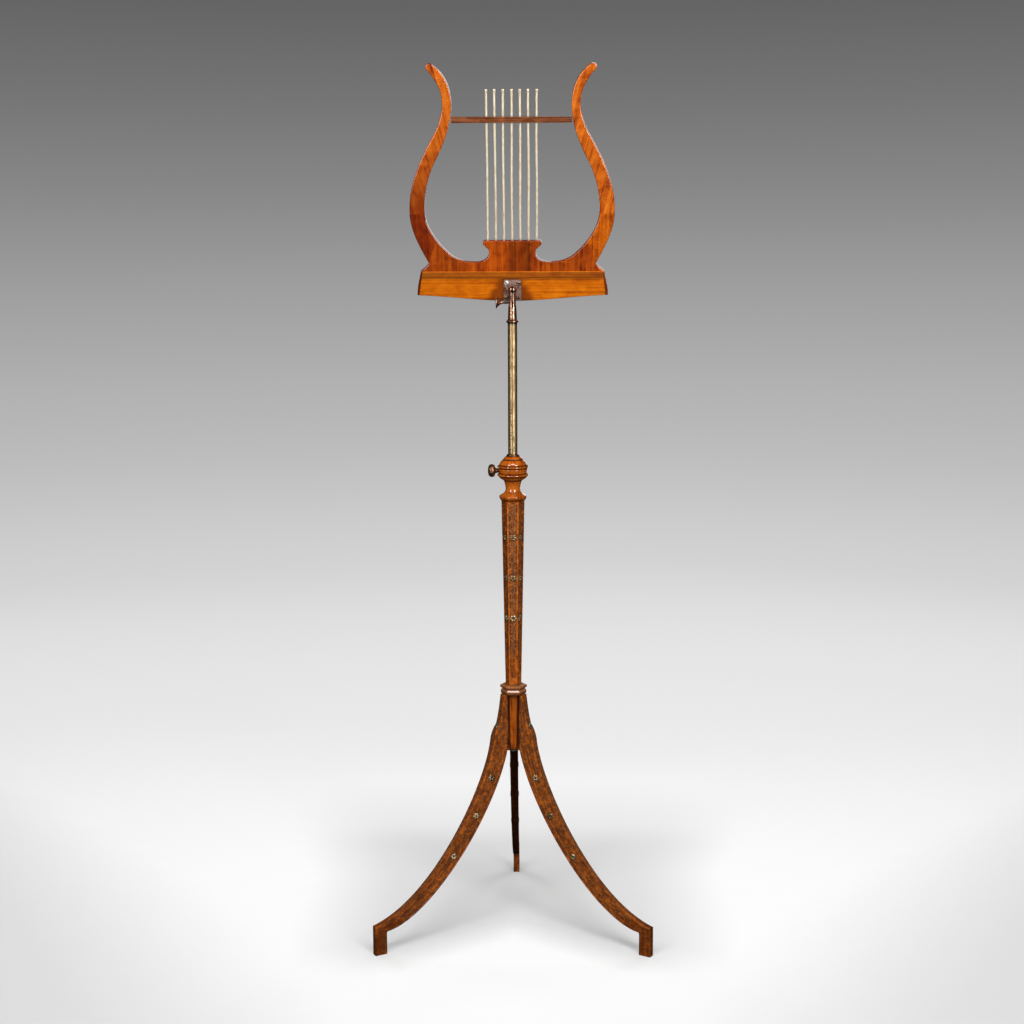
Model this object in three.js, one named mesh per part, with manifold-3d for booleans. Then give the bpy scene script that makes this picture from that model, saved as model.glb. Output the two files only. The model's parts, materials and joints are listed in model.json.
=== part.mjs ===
// A lyre-backed music stand: three sabre legs, a hexagonal column, a brass pole that slides in a
// turned collar, a split-ball fork, and a lyre desk with a ledge for the music.
// Millimetres, +Z up. The musician stands on the +Y side; the hinge faces -Y.
import * as THREE from 'three';
import { mergeVertices } from 'three/addons/utils/BufferGeometryUtils.js';
import Module from 'manifold-3d';

const wasm = await Module();
wasm.setup();

// ---- Driving dimensions ----
const GAP = 0.3;                                    // between pieces that touch
const RUNNING_GAP = 0.1;                            // between pieces that turn or slide

const LEG_ANGLES = { leg_front_left: -150, leg_front_right: -30, leg_rear: 90 };
const FOOT_REACH = 238.2;                           // stand axis to the outer face of a foot
const FOOT_INNER = 219.3;                           // and to its inner face
const FOOT_THICKNESS = 9.7;
const LEG_THICKNESS = 12.5;                         // at the hub, tapering to the foot's

const HUB_BOTTOM = 284;
const HUB_TOP = 371.2;
const HUB_RADIUS_BOTTOM = 11;                       // across corners, as a radius
const HUB_RADIUS_TOP = 15.2;
const DOVETAIL_TOP = 359;
const HUB_SCREW_CIRCLE = 6;                         // radius of the hub plate's screw circle
const HUB_PLATE_THICKNESS = 1.6;
const RING_TOP = 386.5;
const COLUMN_TOP = 668.6;
const COLUMN_RADIUS_BOTTOM = 12.05;
const COLUMN_RADIUS_TOP = 17.4;
const COLUMN_TENON = 8;                             // radius of the tenon in the hub
const BORE_BOTTOM = 395;
const BORE_RADIUS = 7.5;

const COLLAR_BASE = 669;
const COLLAR_TENON = 10;                            // radius of the collar's tenon in the column
const COLLAR_TENON_BOTTOM = 645;
const COLLAR_TOP = 735;
const CLAMP_HEIGHT = 713;

const POLE_RADIUS = 7;
const POLE_WALL = 1;
const POLE_BOTTOM = 540;
const POLE_TOP = 929.9;

const PIVOT_HEIGHT = 980.3;
const TILT_SCREW_HEIGHT = 962;
const BALL_RADIUS = 7.1;
const BALL_HALF_HEIGHT = 6.2;
const SLOT_WIDTH = 2.2;
const PIN_RADIUS = 1.5;

const DESK_LEAN = 12;                               // degrees, top towards -Y
const PLATE_BACK = 11;                              // distances from the pivot, along the desk's normal
const PLATE_THICKNESS = 2;
const RAIL_FRONT = PLATE_BACK + GAP;
const RAIL_THICKNESS = 9;
const PANEL_FRONT = RAIL_FRONT + RAIL_THICKNESS + GAP;
const PANEL_THICKNESS = 9;
const PANEL_MIDDLE = PANEL_FRONT + PANEL_THICKNESS / 2;
const PANEL_REAR = PANEL_FRONT + PANEL_THICKNESS;
const LEDGE_DEPTH = 44;
const LEDGE_THICKNESS = 8;
const LEDGE_BOTTOM = -12.5;
const LIP_HEIGHT = 17;
const LIP_THICKNESS = 6;

const ARM_JOINT = 107.5;                            // height of the glue joint above the pivot
const CROSSBAR_HEIGHT = 242;
const YOKE_TOP = 68;
const STRING_COUNT = 7;
const STRING_SPACING = 12;
const STRING_RADIUS = 1.6;
const STRING_TOP = 285;
const STRING_SOCKET = 5;                            // depth of a string in the yoke

const OUTLINE_STEPS = 10;                            // straight pieces in one curve of the lyre
const ROUND = 24;                                   // sides of a large turned piece
const SMALL_ROUND = 18;                             // sides of a small one

// ---- Materials ----
const finish = (color, roughness, metalness = 0) =>
  new THREE.MeshStandardMaterial({ color, roughness, metalness });
const mahogany = finish(0x7a3a14, 0.35);
const panelVeneer = finish(0xb0540f, 0.25);
const railWood = finish(0xc8690e, 0.25);
const rosewood = finish(0x5c3320, 0.4);
const dowelWood = finish(0xb98a55, 0.7);
const poleBrass = finish(0x9a8450, 0.4, 0.9);
const bronze = finish(0x9c6f55, 0.3, 0.9);
const stringBrass = finish(0xcdb28a, 0.35, 0.9);
const steel = finish(0x8a8580, 0.4, 0.9);

// ---- Geometry helpers ----
const radians = THREE.MathUtils.degToRad;

/** A geometry with shared vertices merged and no zero-area triangles. */
function welded(geometry) {
  const bare = geometry.clone();
  bare.deleteAttribute('normal');
  bare.deleteAttribute('uv');
  const merged = mergeVertices(bare, 1e-4);
  const index = Array.from(merged.index.array);
  const kept = [];
  for (let i = 0; i < index.length; i += 3) {
    const [a, b, c] = index.slice(i, i + 3);
    if (a !== b && b !== c && c !== a) kept.push(a, b, c);
  }
  merged.setIndex(kept);
  return merged;
}

function toSolid(geometry) {
  const mesh = welded(geometry);
  return new wasm.Manifold(new wasm.Mesh({
    numProp: 3,
    vertProperties: new Float32Array(mesh.attributes.position.array),
    triVerts: new Uint32Array(mesh.index.array),
  }));
}

function toGeometry(solid) {
  const mesh = solid.getMesh();
  const geometry = new THREE.BufferGeometry();
  geometry.setAttribute('position', new THREE.BufferAttribute(mesh.vertProperties, mesh.numProp));
  geometry.setIndex(new THREE.BufferAttribute(mesh.triVerts, 1));
  return geometry;
}

/** The first geometry with every cutter taken away. */
function cut(geometry, ...cutters) {
  return toGeometry(cutters.reduce((rest, cutter) => rest.subtract(toSolid(cutter)), toSolid(geometry)));
}

/** Overlapping geometries joined into one body. */
function join(first, ...others) {
  return toGeometry(others.reduce((all, other) => all.add(toSolid(other)), toSolid(first)));
}

/** A piece turned about Z, from [radius, height] points that start and end on the axis or close. */
function turned(profile, sides = ROUND) {
  const points = profile.map(([radius, height]) => new THREE.Vector2(radius, height));
  return new THREE.LatheGeometry(points, sides).rotateX(Math.PI / 2);
}

function disc(radius, low, high, sides = ROUND) {
  return turned([[0, low], [radius, low], [radius, high], [0, high]], sides);
}

/** A hexagonal piece with flats facing -Y; radii are to the corners. */
function hexagonal(profile) {
  return turned(profile, 6).rotateZ(Math.PI / 2);
}

/** A rod along X. */
function rodX(radius, low, high, sides = SMALL_ROUND) {
  return disc(radius, low, high, sides).rotateY(Math.PI / 2);
}

/** A rod along Y. */
function rodY(radius, low, high, sides = SMALL_ROUND) {
  return disc(radius, low, high, sides).rotateX(-Math.PI / 2);
}

function block([x0, x1], [y0, y1], [z0, z1]) {
  return new THREE.BoxGeometry(x1 - x0, y1 - y0, z1 - z0)
    .translate((x0 + x1) / 2, (y0 + y1) / 2, (z0 + z1) / 2);
}

/** An outline in X and Z, given thickness along Y from one face to the other. */
function slab(shape, near, far, curveSegments = 14) {
  return new THREE.ExtrudeGeometry(shape, { depth: far - near, bevelEnabled: false, curveSegments })
    .rotateX(Math.PI / 2).translate(0, far, 0);
}

function arcPoints(centre, radius, from, to, steps) {
  return Array.from({ length: steps + 1 }, (_, i) => {
    const angle = radians(from + (to - from) * i / steps);
    return [centre[0] + radius * Math.cos(angle), centre[1] + radius * Math.sin(angle)];
  });
}

const stand = new THREE.Group();

function add(name, geometry, material, parent = stand) {
  const mesh = new THREE.Mesh(geometry, material);
  mesh.name = name;
  parent.add(mesh);
  return mesh;
}

// ---- Base: hub, legs, ring ----

/** Distance from the axis to the middle of a hub face, at a height. */
function hubFace(height) {
  const share = (height - HUB_BOTTOM) / (HUB_TOP - HUB_BOTTOM);
  return THREE.MathUtils.lerp(HUB_RADIUS_BOTTOM, HUB_RADIUS_TOP, share) * Math.cos(radians(30));
}

/** The dovetail's section, narrow at the hub face; play widens the slot or narrows the tongue. */
function dovetail(play, low, high) {
  const deep = 5.5 - play;
  const mouth = 14.6;
  const section = new THREE.Shape();
  section.moveTo(deep, -4 - play);
  section.lineTo(mouth, -2.6 - play);
  section.lineTo(mouth, 2.6 + play);
  section.lineTo(deep, 4 + play);
  return new THREE.ExtrudeGeometry(section, { depth: high - low, bevelEnabled: false })
    .translate(0, 0, low);
}

function hubGeometry() {
  const body = hexagonal([[0, HUB_BOTTOM], [HUB_RADIUS_BOTTOM, HUB_BOTTOM], [HUB_RADIUS_TOP, HUB_TOP],
    [0, HUB_TOP]]);
  const slots = Object.values(LEG_ANGLES).map((angle) =>
    dovetail(GAP, HUB_BOTTOM - 1, DOVETAIL_TOP + GAP).rotateZ(radians(angle)));
  const screwHoles = [-90, 30, 150].map((angle) =>
    disc(1.2, HUB_BOTTOM - 1, HUB_BOTTOM + 9, 12).translate(HUB_SCREW_CIRCLE * Math.cos(radians(angle)),
      HUB_SCREW_CIRCLE * Math.sin(radians(angle)), 0));
  const mortise = disc(COLUMN_TENON + GAP, HUB_TOP - 10, HUB_TOP + 1);
  return cut(body, mortise, ...slots, ...screwHoles);
}

/** A leg's side view in its own radial plane: x is the distance from the axis, y the height. */
function legOutline() {
  const outline = new THREE.Shape();
  outline.moveTo(FOOT_REACH, 0);
  outline.lineTo(FOOT_REACH, 44.6);
  outline.bezierCurveTo(134.6, 70.8, 45.8, 235.7, 37.7, 302.4);
  outline.bezierCurveTo(36.4, 311, 33, 319.5, 27.8, 325.6);
  outline.bezierCurveTo(24.6, 336, 21.8, 353, 19.4, HUB_TOP);
  outline.lineTo(hubFace(HUB_TOP) + GAP, HUB_TOP);
  outline.lineTo(hubFace(HUB_BOTTOM) + GAP, HUB_BOTTOM);
  outline.lineTo(13.8, HUB_BOTTOM);
  outline.bezierCurveTo(38.4, 181.6, 146, 41.8, 218.5, 34.7);
  outline.lineTo(FOOT_INNER, 32);
  outline.lineTo(FOOT_INNER, 0);
  return outline;
}

/** A leg that runs along +X, thinner towards the foot, with its dovetail tongue. */
function legGeometry() {
  const blade = new THREE.ExtrudeGeometry(legOutline(), {
    depth: 1, bevelEnabled: false, curveSegments: 22,
  }).translate(0, 0, -0.5).rotateX(Math.PI / 2);
  const position = blade.attributes.position;
  for (let i = 0; i < position.count; i++) {
    const share = THREE.MathUtils.clamp(position.getX(i) / FOOT_REACH, 0, 1);
    position.setY(i, position.getY(i) * THREE.MathUtils.lerp(LEG_THICKNESS, FOOT_THICKNESS, share));
  }
  return join(blade, dovetail(0, HUB_BOTTOM + GAP, DOVETAIL_TOP));
}

function ringGeometry() {
  const moulding = hexagonal([[0, HUB_TOP + GAP], [17.4, HUB_TOP + GAP], [18.6, 373], [19.6, 375.2],
    [19.6, 378.4], [18.9, 380.6], [17, 382.6], [14.6, 384], [12.6, RING_TOP - 1], [12.4, RING_TOP],
    [0, RING_TOP]]);
  return cut(moulding, disc(COLUMN_TENON + GAP, HUB_TOP - 1, RING_TOP + 1));
}

function hubPlateGeometry() {
  const top = HUB_BOTTOM - GAP;
  const holes = [-90, 30, 150].map((angle) =>
    disc(1.3, top - 3, top + 1, 12).translate(HUB_SCREW_CIRCLE * Math.cos(radians(angle)),
      HUB_SCREW_CIRCLE * Math.sin(radians(angle)), 0));
  return cut(disc(9.2, top - HUB_PLATE_THICKNESS, top), ...holes);
}

/** A round-headed slotted screw, head down, its shank running up from height 0. */
function screwGeometry({ head, headHeight, shank, length, slot, slotAngle }) {
  const dome = [[0, -headHeight], [head * 0.55, -headHeight * 0.92], [head * 0.88, -headHeight * 0.6],
    [head, -headHeight * 0.12], [head, 0]];
  const body = turned([...dome, [shank, 0], [shank, length * 0.7], [0, length]], 16);
  const driverSlot = block([-head * 1.2, head * 1.2], [-slot / 2, slot / 2], [-headHeight - 1, -headHeight * 0.4]);
  return cut(body, driverSlot.rotateZ(radians(slotAngle)));
}

add('hub', hubGeometry(), mahogany);
add('base_ring', ringGeometry(), mahogany);
for (const [name, angle] of Object.entries(LEG_ANGLES)) {
  add(name, legGeometry(), mahogany).rotation.z = radians(angle);
}
add('hub_plate', hubPlateGeometry(), steel);
[-90, 30, 150].forEach((angle, i) => {
  const screw = screwGeometry({
    head: 2.2, headHeight: 1.2, shank: 1, length: 9, slot: 0.6, slotAngle: 40 + 50 * i,
  });
  add(`hub_plate_screw_${i + 1}`, screw, steel).position.set(
    HUB_SCREW_CIRCLE * Math.cos(radians(angle)), HUB_SCREW_CIRCLE * Math.sin(radians(angle)),
    HUB_BOTTOM - GAP - HUB_PLATE_THICKNESS - GAP);
});

// ---- Column and collar ----

function columnGeometry() {
  const shaft = hexagonal([[0, RING_TOP + GAP], [COLUMN_RADIUS_BOTTOM, RING_TOP + GAP],
    [COLUMN_RADIUS_TOP, COLUMN_TOP], [0, COLUMN_TOP]]);
  const tenon = disc(COLUMN_TENON, HUB_TOP - 10 + GAP, RING_TOP + 2);
  const bore = disc(BORE_RADIUS, BORE_BOTTOM, COLUMN_TOP + 1);
  const socket = disc(COLLAR_TENON + GAP, COLLAR_TENON_BOTTOM - GAP, COLUMN_TOP + 1);
  return cut(join(shaft, tenon), bore, socket);
}

const BUSH_SLEEVE = 8.6;
const BUSH_BOTTOM = 722;
const INSERT_RADIUS = 4.4;
const INSERT_INNER_END = -11;
const SHOE_RADIUS = 3;

function collarGeometry() {
  const bowl = [[18.4, COLLAR_BASE], [19.7, 674.2], [19.3, 676], [14, 679.6], [11.2, 683], [11, 686],
    [11.9, 691.2], [15.2, 698.4], [20.4, 702]];
  const lowerBead = arcPoints([21.6, 704.2], 1.6, -80, 80, 4);
  const band = [[21.4, 707], [21.5, 713.8], [20.9, 714.6]];
  const upperBead = arcPoints([21.4, 716.6], 1.8, -80, 80, 4);
  const dome = [[22.4, 720.4], [20.6, 725], [16.6, 729.6], [13.2, 731.4], [12, 732], [11, COLLAR_TOP]];
  const hollow = [[BUSH_SLEEVE + GAP, COLLAR_TOP], [BUSH_SLEEVE + GAP, BUSH_BOTTOM - GAP],
    [BORE_RADIUS, BUSH_BOTTOM - GAP], [BORE_RADIUS, COLLAR_TENON_BOTTOM]];
  const tenon = [[COLLAR_TENON, COLLAR_TENON_BOTTOM], [COLLAR_TENON, COLLAR_BASE]];
  const profile = [...tenon, ...bowl, ...lowerBead, ...band, ...upperBead, ...dome, ...hollow,
    [COLLAR_TENON, COLLAR_TENON_BOTTOM]];
  const insertHole = rodX(INSERT_RADIUS + GAP, -30, INSERT_INNER_END + GAP).translate(0, 0, CLAMP_HEIGHT);
  const shoeHole = rodX(SHOE_RADIUS + GAP, -20, -5).translate(0, 0, CLAMP_HEIGHT);
  return cut(turned(profile), insertHole, shoeHole);
}

function bushGeometry() {
  const inner = POLE_RADIUS + RUNNING_GAP;
  return turned([[inner, BUSH_BOTTOM], [BUSH_SLEEVE, BUSH_BOTTOM], [BUSH_SLEEVE, COLLAR_TOP + GAP],
    [10.6, COLLAR_TOP + GAP], [10.4, COLLAR_TOP + 1.3], [9, COLLAR_TOP + 2.2], [8.2, COLLAR_TOP + 3],
    [inner, COLLAR_TOP + 3], [inner, BUSH_BOTTOM]]);
}

const KNOB_SHANK = 2.95;

function insertGeometry() {
  const outer = rodX(INSERT_RADIUS, -21.2, INSERT_INNER_END);
  return cut(outer, rodX(KNOB_SHANK + RUNNING_GAP, -30, 0)).translate(0, 0, CLAMP_HEIGHT);
}

/** The height knob: a bulbous disc, a conical boss and the screw, one turned piece along -X. */
function heightKnobGeometry() {
  const outwards = [[0, 9.4], [2.2, 9.4], [KNOB_SHANK, 10.2], [KNOB_SHANK, 21.8], [3.3, 22.2],
    [3.7, 24.6], [4.6, 26.4], [7.4, 27], [9.2, 28.6], [9.7, 31], [9.4, 33], [8.2, 35], [5.4, 36.6],
    [2.4, 37.1], [0, 37.2]];
  return turned(outwards, SMALL_ROUND).rotateY(-Math.PI / 2).translate(0, 0, CLAMP_HEIGHT);
}

add('column', columnGeometry(), mahogany);
add('collar', collarGeometry(), mahogany);
add('pole_bush', bushGeometry(), bronze);
add('screw_insert', insertGeometry(), bronze);
add('height_knob', heightKnobGeometry(), bronze);
add('clamp_shoe', rodX(SHOE_RADIUS, -9.1, -7.25).translate(0, 0, CLAMP_HEIGHT), bronze);

// ---- Pole and fork ----

function poleGeometry() {
  const inner = POLE_RADIUS - POLE_WALL;
  return turned([[inner, POLE_BOTTOM], [POLE_RADIUS, POLE_BOTTOM], [POLE_RADIUS, POLE_TOP],
    [inner, POLE_TOP], [inner, POLE_BOTTOM]]);
}

/** The ferrule, its neck and the ball, split down the middle for the desk's tongue. */
function forkGeometry() {
  const spigot = POLE_RADIUS - POLE_WALL - RUNNING_GAP;
  const seat = POLE_TOP + GAP;
  const ferrule = [[0, seat - 25], [spigot, seat - 25], [spigot, seat], [7.2, seat], [7.2, 931.2],
    [6.8, 931.8]];
  const bead = arcPoints([7.2, 934.1], 1.9, -75, 75, 6);
  const neck = [[6.9, 936.8], [6.6, 939], [5.9, 956.7], [5.4, 958], [5.3, 973]];
  const ballStart = -Math.acos(5.3 / BALL_RADIUS);
  const ball = Array.from({ length: 11 }, (_, i) => {
    const angle = THREE.MathUtils.lerp(ballStart, Math.PI / 2, i / 10);
    return [Math.max(BALL_RADIUS * Math.cos(angle), 0), PIVOT_HEIGHT + BALL_HALF_HEIGHT * Math.sin(angle)];
  });
  const body = turned([...ferrule, ...bead, ...neck, ...ball], SMALL_ROUND);
  const slot = block([-SLOT_WIDTH / 2, SLOT_WIDTH / 2], [-12, 12], [955.8, 995]);
  const pinHole = rodX(PIN_RADIUS + RUNNING_GAP, -12, 12).translate(0, 0, PIVOT_HEIGHT);
  const screwHole = rodX(2.2, -12, 12).translate(0, 0, TILT_SCREW_HEIGHT);
  return cut(body, slot, pinHole, screwHole);
}

/** The tilt thumbscrew: a thin shank that flares like a trumpet into a disc head, along -X. */
function tiltScrewGeometry() {
  const flare = Array.from({ length: 6 }, (_, i) => {
    const share = (i + 1) / 6;
    return [2 + 6.2 * share ** 3, 12 + 10 * share];
  });
  const profile = [[0, -5], [1.4, -5], [1.9, -4.4], [1.9, 8.4], [2.4, 8.8], [2, 12], ...flare,
    [8.5, 22.4], [8.5, 23.8], [7.8, 24.5], [0, 24.5]];
  return turned(profile, SMALL_ROUND).rotateY(-Math.PI / 2).translate(0, 0, TILT_SCREW_HEIGHT);
}

add('pole_tube', poleGeometry(), poleBrass);
add('pole_plug', disc(POLE_RADIUS - POLE_WALL - GAP, POLE_BOTTOM, POLE_BOTTOM + 14), dowelWood);
add('fork', forkGeometry(), bronze);
add('pivot_pin', rodX(PIN_RADIUS, -6.2, 6.2).translate(0, 0, PIVOT_HEIGHT), steel);
add('tilt_screw', tiltScrewGeometry(), bronze);

// ---- Desk, in its own frame: the origin on the pivot, Z up the panel, Y along its normal ----
const desk = new THREE.Group();
desk.position.z = PIVOT_HEIGHT;
desk.rotation.x = radians(DESK_LEAN);
stand.add(desk);

const SCREW_PLACES = [[-8.8, 8], [8.8, 8], [-8.8, -13.4], [8.8, -13.4]];

function hingePlateGeometry() {
  const front = PLATE_BACK - PLATE_THICKNESS;
  const plate = block([-13, 13], [front, PLATE_BACK], [-18.3, 12.6]);
  const eye = rodX(5.2, -0.95, 0.95, 24);
  const web = block([-0.95, 0.95], [0, front + 1], [-4.4, 4.4]);
  const holes = SCREW_PLACES.map(([x, z]) => rodY(1.7, 0, 20, 12).translate(x, 0, z));
  return cut(join(plate, eye, web), rodX(PIN_RADIUS + RUNNING_GAP, -3, 3), ...holes);
}

/** The lower edge that the rail and the panel share: a shallow bow, deepest in the middle. */
function bowedEdge(shape, endX, endHeight) {
  shape.lineTo(endX, endHeight);
  shape.bezierCurveTo(endX * 0.6, endHeight - 2.6, endX * 0.35, -19.6, 0, -19.6);
  shape.bezierCurveTo(-endX * 0.35, -19.6, -endX * 0.6, endHeight - 2.6, -endX, endHeight);
}

function railGeometry() {
  const face = new THREE.Shape();
  face.moveTo(-131, 23.3);
  face.lineTo(131, 23.3);
  face.lineTo(132.4, 12);
  bowedEdge(face, 135.6, -11);
  face.lineTo(-132.4, 12);
  const front = slab(face, RAIL_FRONT, RAIL_FRONT + RAIL_THICKNESS);
  const back = RAIL_FRONT + RAIL_THICKNESS;
  const section = new THREE.Shape();                // x is the desk's normal, y its height
  section.moveTo(back, -25);
  section.lineTo(back, 23.3);
  section.lineTo(back - 1.6, 23.3);
  section.lineTo(back - 2, 21.8);
  section.quadraticCurveTo(back - 3, 17, RAIL_FRONT + 0.6, 15.6);
  section.lineTo(RAIL_FRONT, 15);
  section.lineTo(RAIL_FRONT, -25);
  const moulding = new THREE.ExtrudeGeometry(section, {
    depth: 300, bevelEnabled: false, curveSegments: 6,
  }).rotateY(Math.PI / 2).rotateX(Math.PI / 2).translate(-150, 0, 0);
  const rail = toSolid(front).intersect(toSolid(moulding));
  const holes = SCREW_PLACES.map(([x, z]) => rodY(1.6, 0, 18.2, 12).translate(x, 0, z));
  return cut(toGeometry(rail), ...holes);
}

/** The outer edge of an arm from the notch above the plinth up to the glue joint. */
function outerCurl(shape, side) {
  shape.bezierCurveTo(side * 132.5, 53, side * 148.6, 80, side * 149.3, ARM_JOINT);
}

/** The inner edge from the glue joint down and round to the yoke. */
function innerCurl(shape, side) {
  shape.bezierCurveTo(side * 126.2, 88, side * 110, 63, side * 89.5, 46.3);
  shape.bezierCurveTo(side * 79.5, 38.3, side * 67, 36, side * 54, 36);
  shape.bezierCurveTo(side * 44, 36, side * 35, 40.6, side * 34.3, 50);
  shape.bezierCurveTo(side * 34.3, 55, side * 36, 57, side * 37.4, 56.6);
  shape.bezierCurveTo(side * 37.6, 59, side * 41.2, 60, side * 41.4, YOKE_TOP);
}

function mirrored(shape) {
  return shape.getPoints(OUTLINE_STEPS).map(({ x, y }) => new THREE.Vector2(-x, y)).reverse();
}

/** Half of the lyre's base, from the middle of the lower edge round to the middle of the yoke. */
function baseHalf() {
  const half = new THREE.Path();
  half.moveTo(0, -19.6);
  half.bezierCurveTo(139.5 * 0.35, -19.6, 139.5 * 0.6, -15.9, 139.5, -13.3);
  half.lineTo(139.8, -4);
  half.bezierCurveTo(139.4, 8, 133.5, 13, 132.6, 21.5);
  half.bezierCurveTo(130.4, 28, 125.6, 29.6, 122.5, 34.7);
  outerCurl(half, 1);
  half.lineTo(126.9, ARM_JOINT);
  innerCurl(half, 1);
  half.lineTo(0, YOKE_TOP);
  return half;
}

const stringPlaces = Array.from({ length: STRING_COUNT }, (_, i) =>
  (i - (STRING_COUNT - 1) / 2) * STRING_SPACING);
const LEDGE_DOWEL_PLACES = { left: -95, middle: 0, right: 95 };
const LEDGE_MIDDLE = LEDGE_BOTTOM + LEDGE_THICKNESS / 2;
const DOWEL_RADIUS = 2.5;
const ARM_DOWEL_X = 138;

function dowelHole(side) {
  return disc(DOWEL_RADIUS + GAP, ARM_JOINT - 13, ARM_JOINT + 13, 12)
    .translate(side * ARM_DOWEL_X, PANEL_MIDDLE, 0);
}

function lyreBaseGeometry() {
  const half = baseHalf();
  const outline = new THREE.Shape([...half.getPoints(OUTLINE_STEPS), ...mirrored(half).slice(1, -1)]);
  const board = slab(outline, PANEL_FRONT, PANEL_REAR);
  const sockets = stringPlaces.map((x) =>
    disc(STRING_RADIUS + GAP, YOKE_TOP - STRING_SOCKET - GAP, YOKE_TOP + 5, 12)
      .translate(x, PANEL_MIDDLE, 0));
  const ledgeHoles = Object.values(LEDGE_DOWEL_PLACES).map((x) =>
    rodY(DOWEL_RADIUS + GAP, PANEL_FRONT + 2, PANEL_REAR + 5, 12).translate(x, 0, LEDGE_MIDDLE));
  return cut(board, ...sockets, ...ledgeHoles, dowelHole(-1), dowelHole(1));
}

/** An arm from the glue joint up to its curled tip; side is -1 on the left and 1 on the right. */
function armGeometry(side) {
  const joint = ARM_JOINT + GAP;
  const edge = new THREE.Path();
  edge.moveTo(126.9, joint);
  edge.lineTo(149.3, joint);
  edge.bezierCurveTo(150.2, 150, 134, 182, 111.5, 222);
  edge.bezierCurveTo(103, 237, 98.8, 252, 98.8, 267);
  edge.bezierCurveTo(98.8, 283, 106, 297, 120.6, 313.4);
  edge.bezierCurveTo(123.4, 317.2, 118.6, 322.4, 113, 320);
  edge.bezierCurveTo(98, 310, 85.6, 292, 85.6, 264);
  edge.bezierCurveTo(85.6, 238, 97, 208, 109, 186);
  edge.bezierCurveTo(118, 169.5, 128.6, 142, 126.9, joint);
  const points = edge.getPoints(OUTLINE_STEPS).slice(0, -1).map(({ x, y }) => new THREE.Vector2(side * x, y));
  const arm = slab(new THREE.Shape(points), PANEL_FRONT, PANEL_REAR);
  const crossbarHole = rodX(2.8, 80, 96, 12).translate(0, PANEL_MIDDLE, CROSSBAR_HEIGHT);
  if (side < 0) crossbarHole.rotateZ(Math.PI).translate(0, 2 * PANEL_MIDDLE, 0);
  return cut(arm, dowelHole(side), crossbarHole);
}

function crossbarGeometry() {
  const half = 86.2;
  const bar = block([-half, half], [PANEL_MIDDLE - 3.6, PANEL_MIDDLE + 3.6],
    [CROSSBAR_HEIGHT - 4.1, CROSSBAR_HEIGHT + 4.1]);
  const tenons = rodX(DOWEL_RADIUS, -95, 95, 12).translate(0, PANEL_MIDDLE, CROSSBAR_HEIGHT);
  const holes = stringPlaces.map((x) =>
    disc(STRING_RADIUS + GAP, CROSSBAR_HEIGHT - 10, CROSSBAR_HEIGHT + 10, 12)
      .translate(x, PANEL_MIDDLE, 0));
  return cut(join(bar, tenons), ...holes);
}

/** One string: a thin rod with a slightly flared tip. */
function stringGeometry() {
  const foot = YOKE_TOP - STRING_SOCKET;
  return turned([[0, foot], [STRING_RADIUS, foot], [STRING_RADIUS, STRING_TOP - 4.6],
    [2.1, STRING_TOP - 3.4], [2.2, STRING_TOP - 1], [1.3, STRING_TOP], [0, STRING_TOP]], 10);
}

const LEDGE_FRONT = PANEL_REAR + GAP;
const LEDGE_END = LEDGE_FRONT + LEDGE_DEPTH;
const LEDGE_HALF = 134;

/** A board in X and Y with rounded front corners, between two heights. */
function ledgeGeometry() {
  const corner = 14;
  const plan = new THREE.Shape();
  plan.moveTo(-LEDGE_HALF, LEDGE_FRONT);
  plan.lineTo(LEDGE_HALF, LEDGE_FRONT);
  plan.lineTo(LEDGE_HALF, LEDGE_END - corner);
  plan.lineTo(LEDGE_HALF - corner / 2, LEDGE_END);
  plan.lineTo(-LEDGE_HALF + corner / 2, LEDGE_END);
  plan.lineTo(-LEDGE_HALF, LEDGE_END - corner);
  const board = new THREE.ExtrudeGeometry(plan, { depth: LEDGE_THICKNESS, bevelEnabled: false })
    .translate(0, 0, LEDGE_BOTTOM);
  const holes = Object.values(LEDGE_DOWEL_PLACES).map((x) =>
    rodY(DOWEL_RADIUS + GAP, LEDGE_FRONT - 5, LEDGE_FRONT + 13, 12).translate(x, 0, LEDGE_MIDDLE));
  return cut(board, ...holes);
}

/** The lip that keeps the music on the ledge, with rounded upper corners. */
function lipGeometry() {
  const half = LEDGE_HALF - 9;
  const top = LEDGE_BOTTOM + LIP_HEIGHT;
  const face = new THREE.Shape();
  face.moveTo(-half, LEDGE_BOTTOM);
  face.lineTo(half, LEDGE_BOTTOM);
  face.lineTo(half, top - 6);
  face.quadraticCurveTo(half, top, half - 6, top);
  face.lineTo(-half + 6, top);
  face.quadraticCurveTo(-half, top, -half, top - 6);
  return slab(face, LEDGE_END + GAP, LEDGE_END + GAP + LIP_THICKNESS, 6);
}

add('hinge_plate', hingePlateGeometry(), bronze, desk);
SCREW_PLACES.forEach(([x, z], i) => {
  const screw = screwGeometry({
    head: 3.4, headHeight: 1.7, shank: 1.4, length: 8.8, slot: 0.8, slotAngle: 45 + 35 * i,
  });
  const mesh = add(`plate_screw_${i + 1}`, screw, bronze, desk);
  mesh.rotation.x = -Math.PI / 2;
  mesh.position.set(x, PLATE_BACK - PLATE_THICKNESS - GAP, z);
});
add('back_rail', railGeometry(), railWood, desk);
add('lyre_base', lyreBaseGeometry(), panelVeneer, desk);
for (const [name, side] of [['left', -1], ['right', 1]]) {
  add(`lyre_arm_${name}`, armGeometry(side), panelVeneer, desk);
  const dowel = disc(DOWEL_RADIUS, ARM_JOINT - 12.5, ARM_JOINT + 12.5, 12);
  add(`arm_dowel_${name}`, dowel, dowelWood, desk).position.set(side * ARM_DOWEL_X, PANEL_MIDDLE, 0);
}
add('crossbar', crossbarGeometry(), rosewood, desk);
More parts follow.
